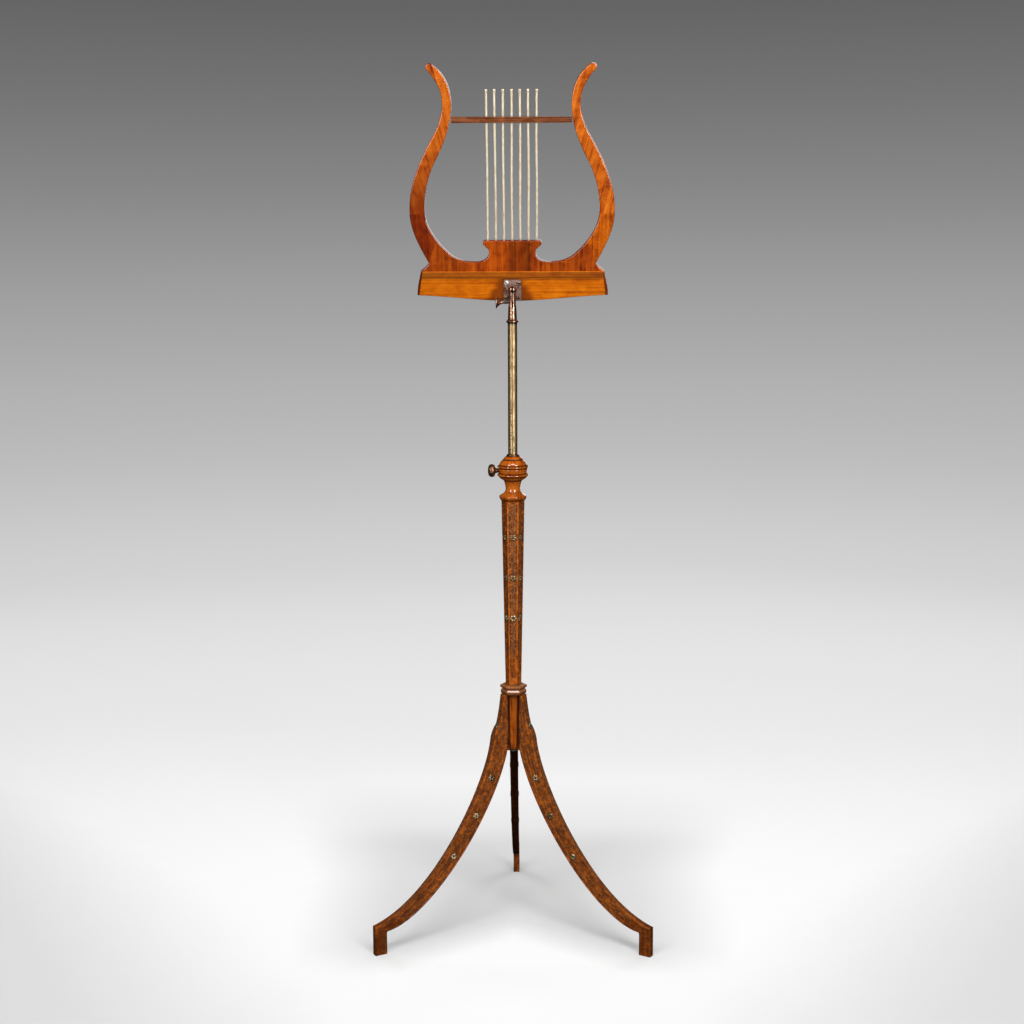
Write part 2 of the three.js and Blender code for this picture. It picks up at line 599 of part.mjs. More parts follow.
stringPlaces.forEach((x, i) => {
  add(`string_${i + 1}`, stringGeometry(), stringBrass, desk).position.set(x, PANEL_MIDDLE, 0);
});
add('music_ledge', ledgeGeometry(), railWood, desk);
add('ledge_lip', lipGeometry(), railWood, desk);
for (const [place, x] of Object.entries(LEDGE_DOWEL_PLACES)) {
  const dowel = rodY(DOWEL_RADIUS, PANEL_FRONT + 2 + GAP, LEDGE_FRONT + 12.5, 12);
  add(`ledge_dowel_${place}`, dowel, dowelWood, desk).position.set(x, 0, LEDGE_MIDDLE);
}

// The origin is on the floor at the middle of the footprint, a little behind the stand's axis.
const frontReach = FOOT_REACH / 2 + FOOT_THICKNESS / 2 * Math.cos(radians(30));
stand.position.y = -(FOOT_REACH - frontReach) / 2;

export default stand;
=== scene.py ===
"""A lyre-backed music stand: its detailed wood and brass pieces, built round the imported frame.

Pieces are modelled in millimetres in one of two local frames. STAND has its origin on the floor under
the column. DESK has it on the tilt pivot, Y along the panel's normal and Z up the panel.
"""

import json
import math

import bpy
import numpy as np
from mathutils import Matrix, Vector


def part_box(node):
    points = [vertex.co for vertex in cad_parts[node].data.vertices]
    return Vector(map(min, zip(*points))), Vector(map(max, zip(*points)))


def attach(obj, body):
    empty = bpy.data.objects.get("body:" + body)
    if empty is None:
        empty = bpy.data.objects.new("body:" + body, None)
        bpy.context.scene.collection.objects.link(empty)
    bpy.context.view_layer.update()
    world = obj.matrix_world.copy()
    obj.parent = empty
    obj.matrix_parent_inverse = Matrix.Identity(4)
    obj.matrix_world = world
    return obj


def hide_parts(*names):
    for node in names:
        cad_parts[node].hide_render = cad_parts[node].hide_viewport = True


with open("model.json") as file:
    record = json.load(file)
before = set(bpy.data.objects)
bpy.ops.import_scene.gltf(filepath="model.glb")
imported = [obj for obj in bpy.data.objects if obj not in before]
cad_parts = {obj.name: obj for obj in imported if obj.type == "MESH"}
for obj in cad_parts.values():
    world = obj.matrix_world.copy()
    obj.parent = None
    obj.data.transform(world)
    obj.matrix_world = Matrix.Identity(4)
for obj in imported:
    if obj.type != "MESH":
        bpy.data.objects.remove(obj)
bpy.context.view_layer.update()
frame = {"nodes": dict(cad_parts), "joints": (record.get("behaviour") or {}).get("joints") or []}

# ---- Places ----
MM = 0.001
DESK_LEAN = 12  # degrees, top of the desk towards the camera
column_low, column_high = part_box("column")
AXIS_Y = (column_low.y + column_high.y) / 2
PIVOT = Vector(next(j["pos_m"] for j in frame["joints"] if j["name"] == "desk_tilt"))
STAND = Matrix.Translation((0, AXIS_Y, 0)) @ Matrix.Scale(MM, 4)
DESK = (
    Matrix.Translation(PIVOT)
    @ Matrix.Rotation(math.radians(DESK_LEAN), 4, "X")
    @ Matrix.Scale(MM, 4)
)

# ---- Sizes, in millimetres ----
LEG_ANGLES = {"leg_front_left": -150, "leg_front_right": -30, "leg_rear": 90}
FOOT_REACH, FOOT_INNER, FOOT_THICKNESS, LEG_THICKNESS = 238.2, 219.3, 9.7, 12.5
HUB_BOTTOM, HUB_TOP = 284, 371.2
HUB_RADIUS_BOTTOM, HUB_RADIUS_TOP = 11, 15.2
COLUMN_BOTTOM, COLUMN_TOP = 386.8, 668.6
COLUMN_RADIUS_BOTTOM, COLUMN_RADIUS_TOP = 12.05, 17.4
BORE_BOTTOM, BORE_RADIUS = 395, 7.5
SOCKET_BOTTOM, SOCKET_RADIUS = 644.7, 10.3
CLAMP_HEIGHT = 713
POLE_BOTTOM, POLE_TOP, POLE_RADIUS = 540, 929.9, 7
PIVOT_HEIGHT, TILT_SCREW_HEIGHT, SLOT_HALF = 980.3, 962, 1.4
PLATE_FRONT, PLATE_BACK = 9, 11
RAIL_FRONT, RAIL_BACK = 11.3, 20.3
PANEL_FRONT, PANEL_REAR, PANEL_MIDDLE = 20.6, 29.6, 25.1
LEDGE_FRONT, LEDGE_END, LEDGE_HALF = 29.9, 73.9, 134
LEDGE_BOTTOM, LEDGE_TOP, LIP_TOP = -12.5, -4.5, 4.5
ARM_JOINT, ARM_GAP, YOKE_TOP, CROSSBAR_HEIGHT = 107.5, 0.1, 68, 242
EDGE_ROUNDING = 1.4
STRING_PLACES = [12 * i for i in range(-3, 4)]
STRING_FOOT, STRING_TOP, STRING_RADIUS = 63, 285, 1.8
COLUMN_ROSETTES = (613.1, 551.1, 489.5)
SIDE_MARGIN, LEG_ROUNDING = 2.1, 0.7
LEG_ROSETTES = ((41.4, 244.8), (68.2, 188.5), (106.9, 131.3))


# ---- Camera ----
CAMERA_DISTANCE = 2.516  # horizontally, from the stand's axis
CAMERA_HEIGHT = 1.061
CAMERA_TILT = 9.27  # degrees down
CAMERA_AZIMUTH = 1.1
CAMERA_ROLL = -0.18
CAMERA_ASIDE = -0.00148
CAMERA_LENS = 59.87


def add_camera():
    data = bpy.data.cameras.new("camera")
    data.lens, data.sensor_width = CAMERA_LENS, 36
    data.clip_start, data.clip_end = 0.05, 60
    camera = bpy.data.objects.new("camera", data)
    bpy.context.scene.collection.objects.link(camera)
    turn = math.radians(CAMERA_AZIMUTH)
    camera.matrix_world = (
        Matrix.Translation((0, AXIS_Y, CAMERA_HEIGHT))
        @ Matrix.Rotation(turn, 4, "Z")
        @ Matrix.Translation((CAMERA_ASIDE, -CAMERA_DISTANCE, 0))
        @ Matrix.Rotation(math.radians(90 - CAMERA_TILT), 4, "X")
        @ Matrix.Rotation(math.radians(CAMERA_ROLL), 4, "Z")
    )
    bpy.context.scene.camera = camera


add_camera()


# ---- Materials ----
class Nodes:
    """A new material and short ways to add nodes to it."""

    def __init__(self, name):
        self.material = bpy.data.materials.new(name)
        self.material.use_nodes = True
        self.tree = self.material.node_tree
        self.shader = self.tree.nodes["Principled BSDF"]

    def add(self, kind, inputs=None, **settings):
        node = self.tree.nodes.new("ShaderNode" + kind)
        for key, value in settings.items():
            setattr(node, key, value)
        for key, value in (inputs or {}).items():
            self.put(node.inputs[key], value)
        return node

    def put(self, socket, value):
        if isinstance(value, bpy.types.NodeSocket):
            self.tree.links.new(value, socket)
        else:
            socket.default_value = value

    def surface(self, **values):
        for key, value in values.items():
            self.put(self.shader.inputs[key.replace("_", " ")], value)

    def attribute(self, name, output="Vector"):
        return self.add("Attribute", attribute_name=name).outputs[output]

    def stretched(self, vector, scale, offset=(0, 0, 0)):
        return self.add("Mapping", {"Vector": vector, "Scale": scale, "Location": offset}).outputs[0]

    def noise(self, vector, scale=1.0, detail=3.0, roughness=0.55, distortion=0.0):
        values = {"Vector": vector, "Scale": scale, "Detail": detail, "Roughness": roughness,
                  "Distortion": distortion}
        return self.add("TexNoise", values).outputs["Fac"]

    def ramp(self, factor, stops, interpolation="LINEAR"):
        node = self.add("ValToRGB", {"Fac": factor})
        node.color_ramp.interpolation = interpolation
        elements = node.color_ramp.elements
        while len(elements) < len(stops):
            elements.new(1.0)
        for element, (place, tone) in zip(elements, stops):
            element.position = place
            element.color = (tone, tone, tone, 1) if isinstance(tone, (int, float)) else (*tone, 1)
        return node.outputs["Color"]

    def math(self, operation, first, second=0.0, third=0.0, clamp=False):
        node = self.add("Math", {0: first, 1: second, 2: third}, operation=operation, use_clamp=clamp)
        return node.outputs[0]

    def mix(self, factor, first, second, blend="MIX"):
        node = self.add("Mix", data_type="RGBA", blend_type=blend, clamp_factor=True)
        self.put(node.inputs[0], factor)
        for index, value in ((6, first), (7, second)):
            self.put(node.inputs[index], (*value, 1) if isinstance(value, tuple) and len(value) == 3 else value)
        return node.outputs[2]

    def bump(self, height, distance, strength=1.0):
        return self.add("Bump", {"Height": height, "Distance": distance, "Strength": strength}).outputs[0]


def wood(name, dark, mid, light, figure=0.5, across=1.0, gloss=0.1, coat=0.6, bands=None, mottle=0.0,
         coat_ior=1.5, zones=()):
    """Polished wood. The grain attribute is in millimetres, X along the grain. The carve
    attribute is below 0 where it darkens: painted shade in recesses, grooves and undersides, a painted
    shadow and darker tones; above 0 it lightens for wear on arrises, lighter tones and a painted
    highlight. Rim is 1 on a board's edges, which are darkened as painted shade; dust is 1 on
    carved relief made grey by wear and where a grey painted sheen lies; deep is 1 where the wood is
    darker: darker wood on the left arm, darker towards the floor on the legs, painted shade on the
    plinth's ends and a painted shadow round the hinge. A zone is wood of another tint, past a plane
    given by its normal and distance."""
    n = Nodes(name)
    grain = n.attribute("grain")
    streaks = n.noise(n.stretched(grain, (0.006, 0.22 * across, 0.22 * across)), 1.0, 5, 0.6, 0.4)
    fibre = n.noise(n.stretched(grain, (0.045, 1.5, 1.5)), 1.0, 4, 0.62)
    ribbon = n.noise(n.stretched(grain, (0.055, 0.05 * across, 0.1), (7, 3, 1)), 1.0, 3, 0.5, 0.8)
    pores = n.noise(n.stretched(grain, (0.12, 3.4, 3.4), (2, 9, 4)), 1.0, 2, 0.5)
    blend = n.math("MULTIPLY_ADD", streaks, 0.75, n.math("MULTIPLY", fibre, 0.35))
    blend = n.math("MULTIPLY_ADD", n.math("SUBTRACT", ribbon, 0.5), figure, blend)
    colour = n.ramp(blend, [(0.36, dark), (0.53, mid), (0.72, light)])
    place = n.add("TexCoord").outputs["Object"]
    for normal, distance, tint in zones:
        past = n.add("VectorMath", {0: place, 1: normal}, operation="DOT_PRODUCT").outputs["Value"]
        share = n.add("MapRange", {0: past, 1: distance, 2: distance + 0.003}).outputs[0]
        colour = n.mix(share, colour, n.mix(1.0, colour, tint, "MULTIPLY"))
    if bands:
        along = n.add("SeparateXYZ", {0: place}).outputs[0]
        wavy = n.math("MULTIPLY_ADD", n.math("SUBTRACT", streaks, 0.5), 0.012, along)
        share = n.add("MapRange", {0: wavy, 1: -0.15, 2: 0.15}).outputs[0]
        colour = n.mix(1.0, colour, n.ramp(share, bands), "MULTIPLY")
    pore_mask = n.ramp(pores, [(0.28, 1.0), (0.36, 0.0)])
    darkening = tuple(c * 0.35 for c in dark)
    colour = n.mix(n.math("MULTIPLY", pore_mask, 0.45), colour, darkening)
    if mottle:
        cloud = n.noise(place, 150, 4, 0.7, 0.8)
        colour = n.mix(n.math("MULTIPLY", n.ramp(cloud, [(0.42, 1.0), (0.54, 0.0)]), mottle), colour, dark)
        colour = n.mix(n.math("MULTIPLY", n.ramp(cloud, [(0.54, 0.0), (0.66, 1.0)]), mottle), colour, light)
    carve = n.attribute("carve", "Fac")
    hollow = n.math("MULTIPLY", carve, -1.0, clamp=True)
    lightened = n.math("MULTIPLY", carve, 1.0, clamp=True)
    # grey on carved relief from wear, and a painted sheen on the base ring
    colour = n.mix(n.math("MULTIPLY", n.attribute("dust", "Fac"), 0.75), colour, RELIEF_TONE)
    # above 0 it lightens: wear on arrises, lighter tones, and a painted highlight on the rail's top arris
    colour = n.mix(n.math("MULTIPLY", lightened, 0.8), colour, light)
    # darker wood, and painted shade on the plinth's ends and a painted shadow round the hinge
    colour = n.mix(n.math("MULTIPLY", n.attribute("deep", "Fac"), 0.9), colour, tuple(c * 0.8 for c in dark))
    # a board's edges darkened: painted shade
    colour = n.mix(n.math("MULTIPLY", n.attribute("rim", "Fac"), 0.5), colour, dark)
    # below 0: painted shade, mixed towards near-black in recesses, grooves and undersides
    colour = n.mix(n.math("MULTIPLY", hollow, 0.95), colour, PAINTED_RECESS_SHADE)
    rough = n.add("MapRange", {0: fibre, 1: 0.3, 2: 0.7, 3: gloss + 0.24, 4: gloss + 0.36}).outputs[0]
    rough = n.math("MULTIPLY_ADD", hollow, 0.25, rough)
    shine = n.math("MULTIPLY", n.math("MULTIPLY_ADD", hollow, -2.0, 1.0, clamp=True), coat)
    n.surface(Base_Color=colour, Roughness=rough, Specular_IOR_Level=0.05, Coat_Weight=shine,
              Coat_Roughness=gloss, Coat_IOR=coat_ior, Normal=n.bump(n.math("MULTIPLY_ADD", pore_mask, -0.6, fibre), 0.00005, 0.4))
    return n.material


def metal(name, dark, mid, light, rough=0.28, scratch=(60, 60, 4), tarnish=0.5, metallic=1.0):
    """Aged metal with tarnish in clouds and fine scratches; scratch is the scratches' scale by axis."""
    n = Nodes(name)
    place = n.add("TexCoord").outputs["Object"]
    clouds = n.noise(place, 90, 4, 0.6)
    fine = n.noise(n.stretched(place, scratch), 14, 5, 0.65)
    blend = n.math("MULTIPLY_ADD", n.math("SUBTRACT", clouds, 0.5), tarnish, fine)
    colour = n.ramp(blend, [(0.32, dark), (0.5, mid), (0.68, light)])
    carve = n.attribute("carve", "Fac")
    hollow = n.math("MULTIPLY", carve, -1.0, clamp=True)
    # below 0: painted shade, the metal darkened towards near-black in slots, grooves, joints and hollows
    colour = n.mix(hollow, colour, (0.012, 0.008, 0.006))
    roughness = n.add("MapRange", {0: blend, 1: 0.3, 2: 0.7, 3: rough + 0.16, 4: rough}).outputs[0]
    n.surface(Base_Color=colour, Metallic=metallic, Roughness=roughness,
              Normal=n.bump(fine, 0.00003, 0.4))
    return n.material


# grey-brown for relief made grey by wear and for a painted sheen; near-black for painted shade in recesses
RELIEF_TONE = (0.29, 0.135, 0.06)
PAINTED_RECESS_SHADE = (0.012, 0.004, 0.002)
CARVED = wood("mahogany", (0.05, 0.012, 0.004), (0.2, 0.045, 0.006), (0.5, 0.13, 0.012), 0.35, 1.6, 0.16,
              0.3, mottle=0.6)
TURNED = wood("turned_mahogany", (0.09, 0.014, 0.001), (0.28, 0.055, 0.002), (0.48, 0.12, 0.007), 0.45, 1.3,
              0.07, coat=1.0, coat_ior=1.9)
# the panel's lower curls are of the arms' own wood: dark on the left and pale on the right
CURL_LEFT = ((-0.916, 0, 0.404), 0.5237, (0.66, 0.46, 0.6))
CURL_RIGHT = ((0.916, 0, 0.404), 0.5237, (1.4, 1.7, 1.2))
PANEL = wood("panel_veneer", (0.1, 0.01, 0.001), (0.31, 0.045, 0.001), (0.47, 0.09, 0.003), 0.45, 1.2,
             0.07, coat=0.8, coat_ior=1.9, zones=(CURL_LEFT, CURL_RIGHT),
             bands=[(0.0, 0.62), (0.06, 0.8), (0.2, 0.74), (0.36, 0.95), (0.47, 0.95), (0.5, 0.4),
                    (0.535, 0.75), (0.57, 0.38), (0.6, 0.85), (0.75, 0.8), (0.93, 0.85), (1.0, 0.7)])
ARM = wood("arm_veneer", (0.17, 0.018, 0.001), (0.42, 0.08, 0.003), (0.6, 0.15, 0.01), 0.55, 1.0,
           0.07, coat=0.9, coat_ior=1.9)
RAIL = wood("rail_wood", (0.24, 0.042, 0.001), (0.42, 0.09, 0.001), (0.56, 0.15, 0.003), 0.45, 1.4)
ROSEWOOD = wood("rosewood", (0.03, 0.007, 0.002), (0.125, 0.034, 0.01), (0.24, 0.08, 0.03), 0.5, 2.0, 0.2, 0.3)
BEECH = wood("beech", (0.42, 0.25, 0.12), (0.55, 0.35, 0.18), (0.66, 0.45, 0.26), 0.2, 1.0, 0.4, 0.1)
POLE_BRASS = metal("pole_brass", (0.26, 0.17, 0.08), (0.62, 0.43, 0.21), (0.86, 0.66, 0.35), 0.36,
                   (90, 90, 2.5), 0.6)
BRONZE = metal("bronze", (0.16, 0.07, 0.04), (0.54, 0.3, 0.19), (0.86, 0.6, 0.45), 0.22, (30, 30, 30))
KNOB_BRONZE = metal("knob_bronze", (0.1, 0.04, 0.02), (0.36, 0.17, 0.09), (0.58, 0.32, 0.19), 0.36,
                    (30, 30, 30))
STRING_BRASS = metal("string_brass", (0.74, 0.58, 0.38), (0.93, 0.79, 0.58), (0.98, 0.9, 0.74), 0.34,
                     (20, 20, 6), 0.2, 0.6)
ROSETTE_BRASS = metal("rosette_brass", (0.13, 0.09, 0.04), (0.52, 0.39, 0.21), (0.92, 0.78, 0.52), 0.34,
                      (30, 30, 30), 0.9)
STEEL = metal("dark_steel", (0.03, 0.028, 0.026), (0.12, 0.11, 0.1), (0.3, 0.28, 0.26), 0.4, (30, 30, 30))
PLATE = metal("hinge_bronze", (0.1, 0.055, 0.042), (0.38, 0.23, 0.18), (0.8, 0.6, 0.53), 0.38, (40, 40, 40), 0.8,
              0.75)
# a lighter copy of the screws' metal: a painted highlight on the first screw
SCREW_PAINTED_HIGHLIGHT = metal("screw_painted_highlight", (0.6, 0.5, 0.4), (0.85, 0.78, 0.7), (0.97, 0.94, 0.9), 0.3, (30, 30, 30), 0.3, 0.5)


# ---- Mesh helpers ----
def build(name, points, faces, body, place=STAND, stands_for=(), slot=None, material=None, sharp=32,
          **attributes):
    """A piece from points in a local frame; attributes are per point, a number or three."""
    points = np.asarray(points, float)
    matrix = np.array(place)
    world = points @ matrix[:3, :3].T + matrix[:3, 3]
    mesh = bpy.data.meshes.new(name)
    mesh.from_pydata(world.tolist(), [], [list(face) for face in faces])
    for key, values in attributes.items():
        values = np.asarray(values, np.float32)
        vector = values.ndim == 2
        layer = mesh.attributes.new(key, "FLOAT_VECTOR" if vector else "FLOAT", "POINT")
        layer.data.foreach_set("vector" if vector else "value", values.ravel())
    mesh.update()
    mesh.validate()
    mesh.shade_smooth()
    mesh.set_sharp_from_angle(angle=math.radians(sharp))
    piece = bpy.data.objects.new(name, mesh)
    bpy.context.scene.collection.objects.link(piece)
    mesh.materials.append(material)
    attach(piece, body)
    if stands_for:
        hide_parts(*stands_for)
    return piece


def bezier(start, one, two, end, steps):
    """Points on a cubic curve, its start left out."""
    t = np.linspace(0, 1, steps + 1)[1:, None]
    start, one, two, end = map(np.array, (start, one, two, end))
    return start * (1 - t) ** 3 + 3 * one * t * (1 - t) ** 2 + 3 * two * t**2 * (1 - t) + end * t**3


def trace(*moves, steps=24):
    """A line through 2-number corners and 6-number curves (two controls, then the end)."""
    points = np.array([moves[0]], float)
    for move in moves[1:]:
        if len(move) == 2:
            points = np.vstack([points, [move]])
        else:
            points = np.vstack([points, bezier(points[-1], move[:2], move[2:4], move[4:], steps)])
    return points


def spline(points, steps=6):
    """A smooth line through the points."""
    points = np.array(points, float)
    ends = np.vstack([2 * points[0] - points[1], points, 2 * points[-1] - points[-2]])
    out = [points[0]]
    for a, b, c, d in zip(ends, ends[1:], ends[2:], ends[3:]):
        for t in np.linspace(0, 1, steps + 1)[1:]:
            out.append(0.5 * (2 * b + (c - a) * t + (2 * a - 5 * b + 4 * c - d) * t * t
                              + (3 * b - a - 3 * c + d) * t**3))
    return np.array(out)


def arc(centre, radius, start, end, steps=10):
    turn = np.radians(np.linspace(start, end, steps + 1))
    return np.column_stack([centre[0] + radius * np.cos(turn), centre[1] + radius * np.sin(turn)])


def grid_faces(rows, columns, wrap=True):
    """Quads between rows of points that go round."""
    faces = []
    last = columns if wrap else columns - 1
    for r in range(rows - 1):
        for c in range(last):
            d = (c + 1) % columns
            faces.append((r * columns + c, r * columns + d, (r + 1) * columns + d, (r + 1) * columns + c))
    return faces


def turned(profile, sides=72, closed=False):
    """Points and faces of a piece turned about Z. A closed profile is hollow; otherwise its two ends
    are capped."""
    profile = np.vstack([np.atleast_2d(p) for p in profile])
    keep = np.r_[True, np.linalg.norm(np.diff(profile, axis=0), axis=1) > 1e-6]
    profile = profile[keep]
    turn = np.linspace(0, 2 * np.pi, sides, endpoint=False)
    rings = [np.column_stack([r * np.cos(turn), r * np.sin(turn), np.full(sides, z)]) for r, z in profile]
    points = np.vstack(rings)
    faces = grid_faces(len(profile), sides)
    if closed:
        first, last = 0, (len(profile) - 1) * sides
        faces += [(last + c, last + (c + 1) % sides, (c + 1) % sides, c) for c in range(sides)]
    else:
        faces.append(tuple(range(sides))[::-1])
        faces.append(tuple((len(profile) - 1) * sides + c for c in range(sides)))
    return points, faces


def upright_grain(points, seed=0.0):
    """Grain along Z."""
    return np.column_stack([points[:, 2] + 97 * seed, points[:, 0] + 31 * seed, points[:, 1]])


def along_x(points, height):
    """Turned points laid along -X, at a height."""
    return np.column_stack([-points[:, 2], points[:, 1], points[:, 0] + height])


def offset(outline, distance):
    """A closed outline moved inwards, its points in anticlockwise order."""
    before, after = np.roll(outline, 1, axis=0), np.roll(outline, -1, axis=0)
    one, two = outline - before, after - outline
    one /= np.linalg.norm(one, axis=1)[:, None]
    two /= np.linalg.norm(two, axis=1)[:, None]
    normal = np.column_stack([-(one + two)[:, 1], (one + two)[:, 0]])
    length = np.linalg.norm(normal, axis=1)
    normal /= np.maximum(length, 1e-9)[:, None]
    mitre = 1 / np.clip(length / 2, 0.6, 1)
    return outline + normal * (distance * mitre)[:, None]


def board(outline, near, far, rounding=0.8, steps=3, square=None):
    """A board with rounded edges, from an outline in X and Z and its two faces' Y, and the height of
    an edge that stays square. Gives points, faces, and rim, which is 1 on the edge and marks where the
    wood is darkened as painted shade."""
    outline = np.asarray(outline, float)
    gap = np.linalg.norm(np.roll(outline, -1, axis=0) - outline, axis=1)
    outline = outline[gap > 0.02]
    area = np.sum(outline[:, 0] * np.roll(outline[:, 1], -1) - np.roll(outline[:, 0], -1) * outline[:, 1])
    if area < 0:
        outline = outline[::-1]
    turn = np.linspace(0, np.pi / 2, steps + 1)
    rings = [(rounding * (1 - math.sin(t)), near + rounding * (1 - math.cos(t)), i) for i, t in enumerate(turn)]
    rings += [(inset, near + far - y, i) for inset, y, i in reversed(rings)]
    count = len(outline)
    points, rim = [], []
    for inset, y, i in rings:
        ring = offset(outline, inset) if inset > 1e-6 else outline.copy()
        if square is not None:
            held = np.abs(outline[:, 1] - square) < 0.1
            ring[held, 1] = outline[held, 1]
        points.append(np.column_stack([ring[:, 0], np.full(count, y), ring[:, 1]]))
        rim.append(np.full(count, 0.0 if i == 0 else i / steps))
    faces = grid_faces(len(rings), count)
    faces.append(tuple(range(count)))
    faces.append(tuple((len(rings) - 1) * count + c for c in range(count))[::-1])
    return np.vstack(points), [f[::-1] for f in faces], np.concatenate(rim)


def cut_with(piece, *cutters):
    """Takes cutter meshes, given as points and faces in the piece's world frame, out of a piece."""
    for points, faces in cutters:
        mesh = bpy.data.meshes.new("cutter")
        mesh.from_pydata(np.asarray(points, float).tolist(), [], [list(f) for f in faces])
        mesh.update()
        tool = bpy.data.objects.new("cutter", mesh)
        bpy.context.scene.collection.objects.link(tool)
        modifier = piece.modifiers.new("cut", "BOOLEAN")
        modifier.operation, modifier.solver, modifier.object = "DIFFERENCE", "EXACT", tool
        bpy.context.view_layer.update()
        graph = bpy.context.evaluated_depsgraph_get()
        result = bpy.data.meshes.new_from_object(piece.evaluated_get(graph))
        piece.modifiers.clear()
        piece.data = result
        bpy.data.objects.remove(tool)
    return piece


def block(x, y, z, place=STAND):
    """Points and faces of a box, in world metres."""
    corners = np.array([(a, b, c) for a in x for b in y for c in z], float)
    faces = [(0, 1, 3, 2), (4, 6, 7, 5), (0, 4, 5, 1), (2, 3, 7, 6), (0, 2, 6, 4), (1, 5, 7, 3)]
    matrix = np.array(place)
    return corners @ matrix[:3, :3].T + matrix[:3, 3], faces


# ---- Carving ----
def bell(x, width):
    return np.exp(-((x / width) ** 2))


def vine(along, across, half, wave):
    """The height, 0 to 1, of a running vine: a waving stem, with leaves and a curl in each hollow.
    Along and across are in millimetres; half is the panel's half width."""
    half = np.maximum(half, 0.5)
    reach = 0.5 * half
    phase = along / wave
    stem = reach * np.sin(2 * np.pi * phase)
    height = 0.9 * bell(across - stem, 0.8)
    for crest in (0.25, 0.75):
        side = 1 if crest == 0.25 else -1
        from_crest = (phase - crest - np.round(phase - crest)) * wave
        x, y = from_crest, across + side * 0.3 * half
        ring = np.hypot(x / 1.25, y) - 0.42 * half
        height = np.maximum(height, 0.8 * bell(ring, 0.6))
        for lean, shift in ((0.6, 0.3 * wave), (-0.6, -0.26 * wave)):
            c, s = math.cos(lean), math.sin(lean)
            u = (x - shift) * c + (across + side * 0.62 * half) * s
            w = -(x - shift) * s + (across + side * 0.62 * half) * c
            leaf = np.clip(1 - (u / (0.17 * wave)) ** 2 - (w / (0.3 * half)) ** 2, 0, 1) ** 0.5
            height = np.maximum(height, leaf * (1 - 0.45 * bell(w, 0.4)))
    return np.clip(height, 0, 1)


def matting(along, across):
    """The punched ground between the carving."""
    return 0.5 + 0.5 * np.cos(2 * np.pi * along / 1.3) * np.cos(2 * np.pi * across / 1.3)


def sunk_panel(edge, slope=0.5):
    """0 outside a sunk panel and 1 inside; edge is the distance inwards from its outline."""
    return np.clip(edge / slope, 0, 1)


# ---- Hexagonal pieces ----
def hexagon(radius, rounding, across=8, corner=3):
    """A hexagon with flats facing -Y and rounded corners: points, facet normals and the offset from
    each facet's middle line."""
    rows = []
    cut = rounding * math.tan(math.radians(30))
    apothem, half = radius * math.cos(math.radians(30)), radius / 2
    for k in range(6):
        face = math.radians(-90 + 60 * k)
        n, t = np.array([math.cos(face), math.sin(face)]), np.array([-math.sin(face), math.cos(face)])
        for v in np.linspace(-(half - cut), half - cut, across):
            rows.append([*(n * apothem + t * v), *n, v])
        for i in range(1, corner + 1):
            turn = face + math.radians(60 * i / (corner + 1))
            m = np.array([math.cos(turn), math.sin(turn)])
            tip = math.radians(-60 + 60 * k)
            centre = np.array([math.cos(tip), math.sin(tip)]) * (radius - rounding / math.cos(math.radians(30)))
            rows.append([*(centre + m * rounding), *m, half])
    return np.array(rows)


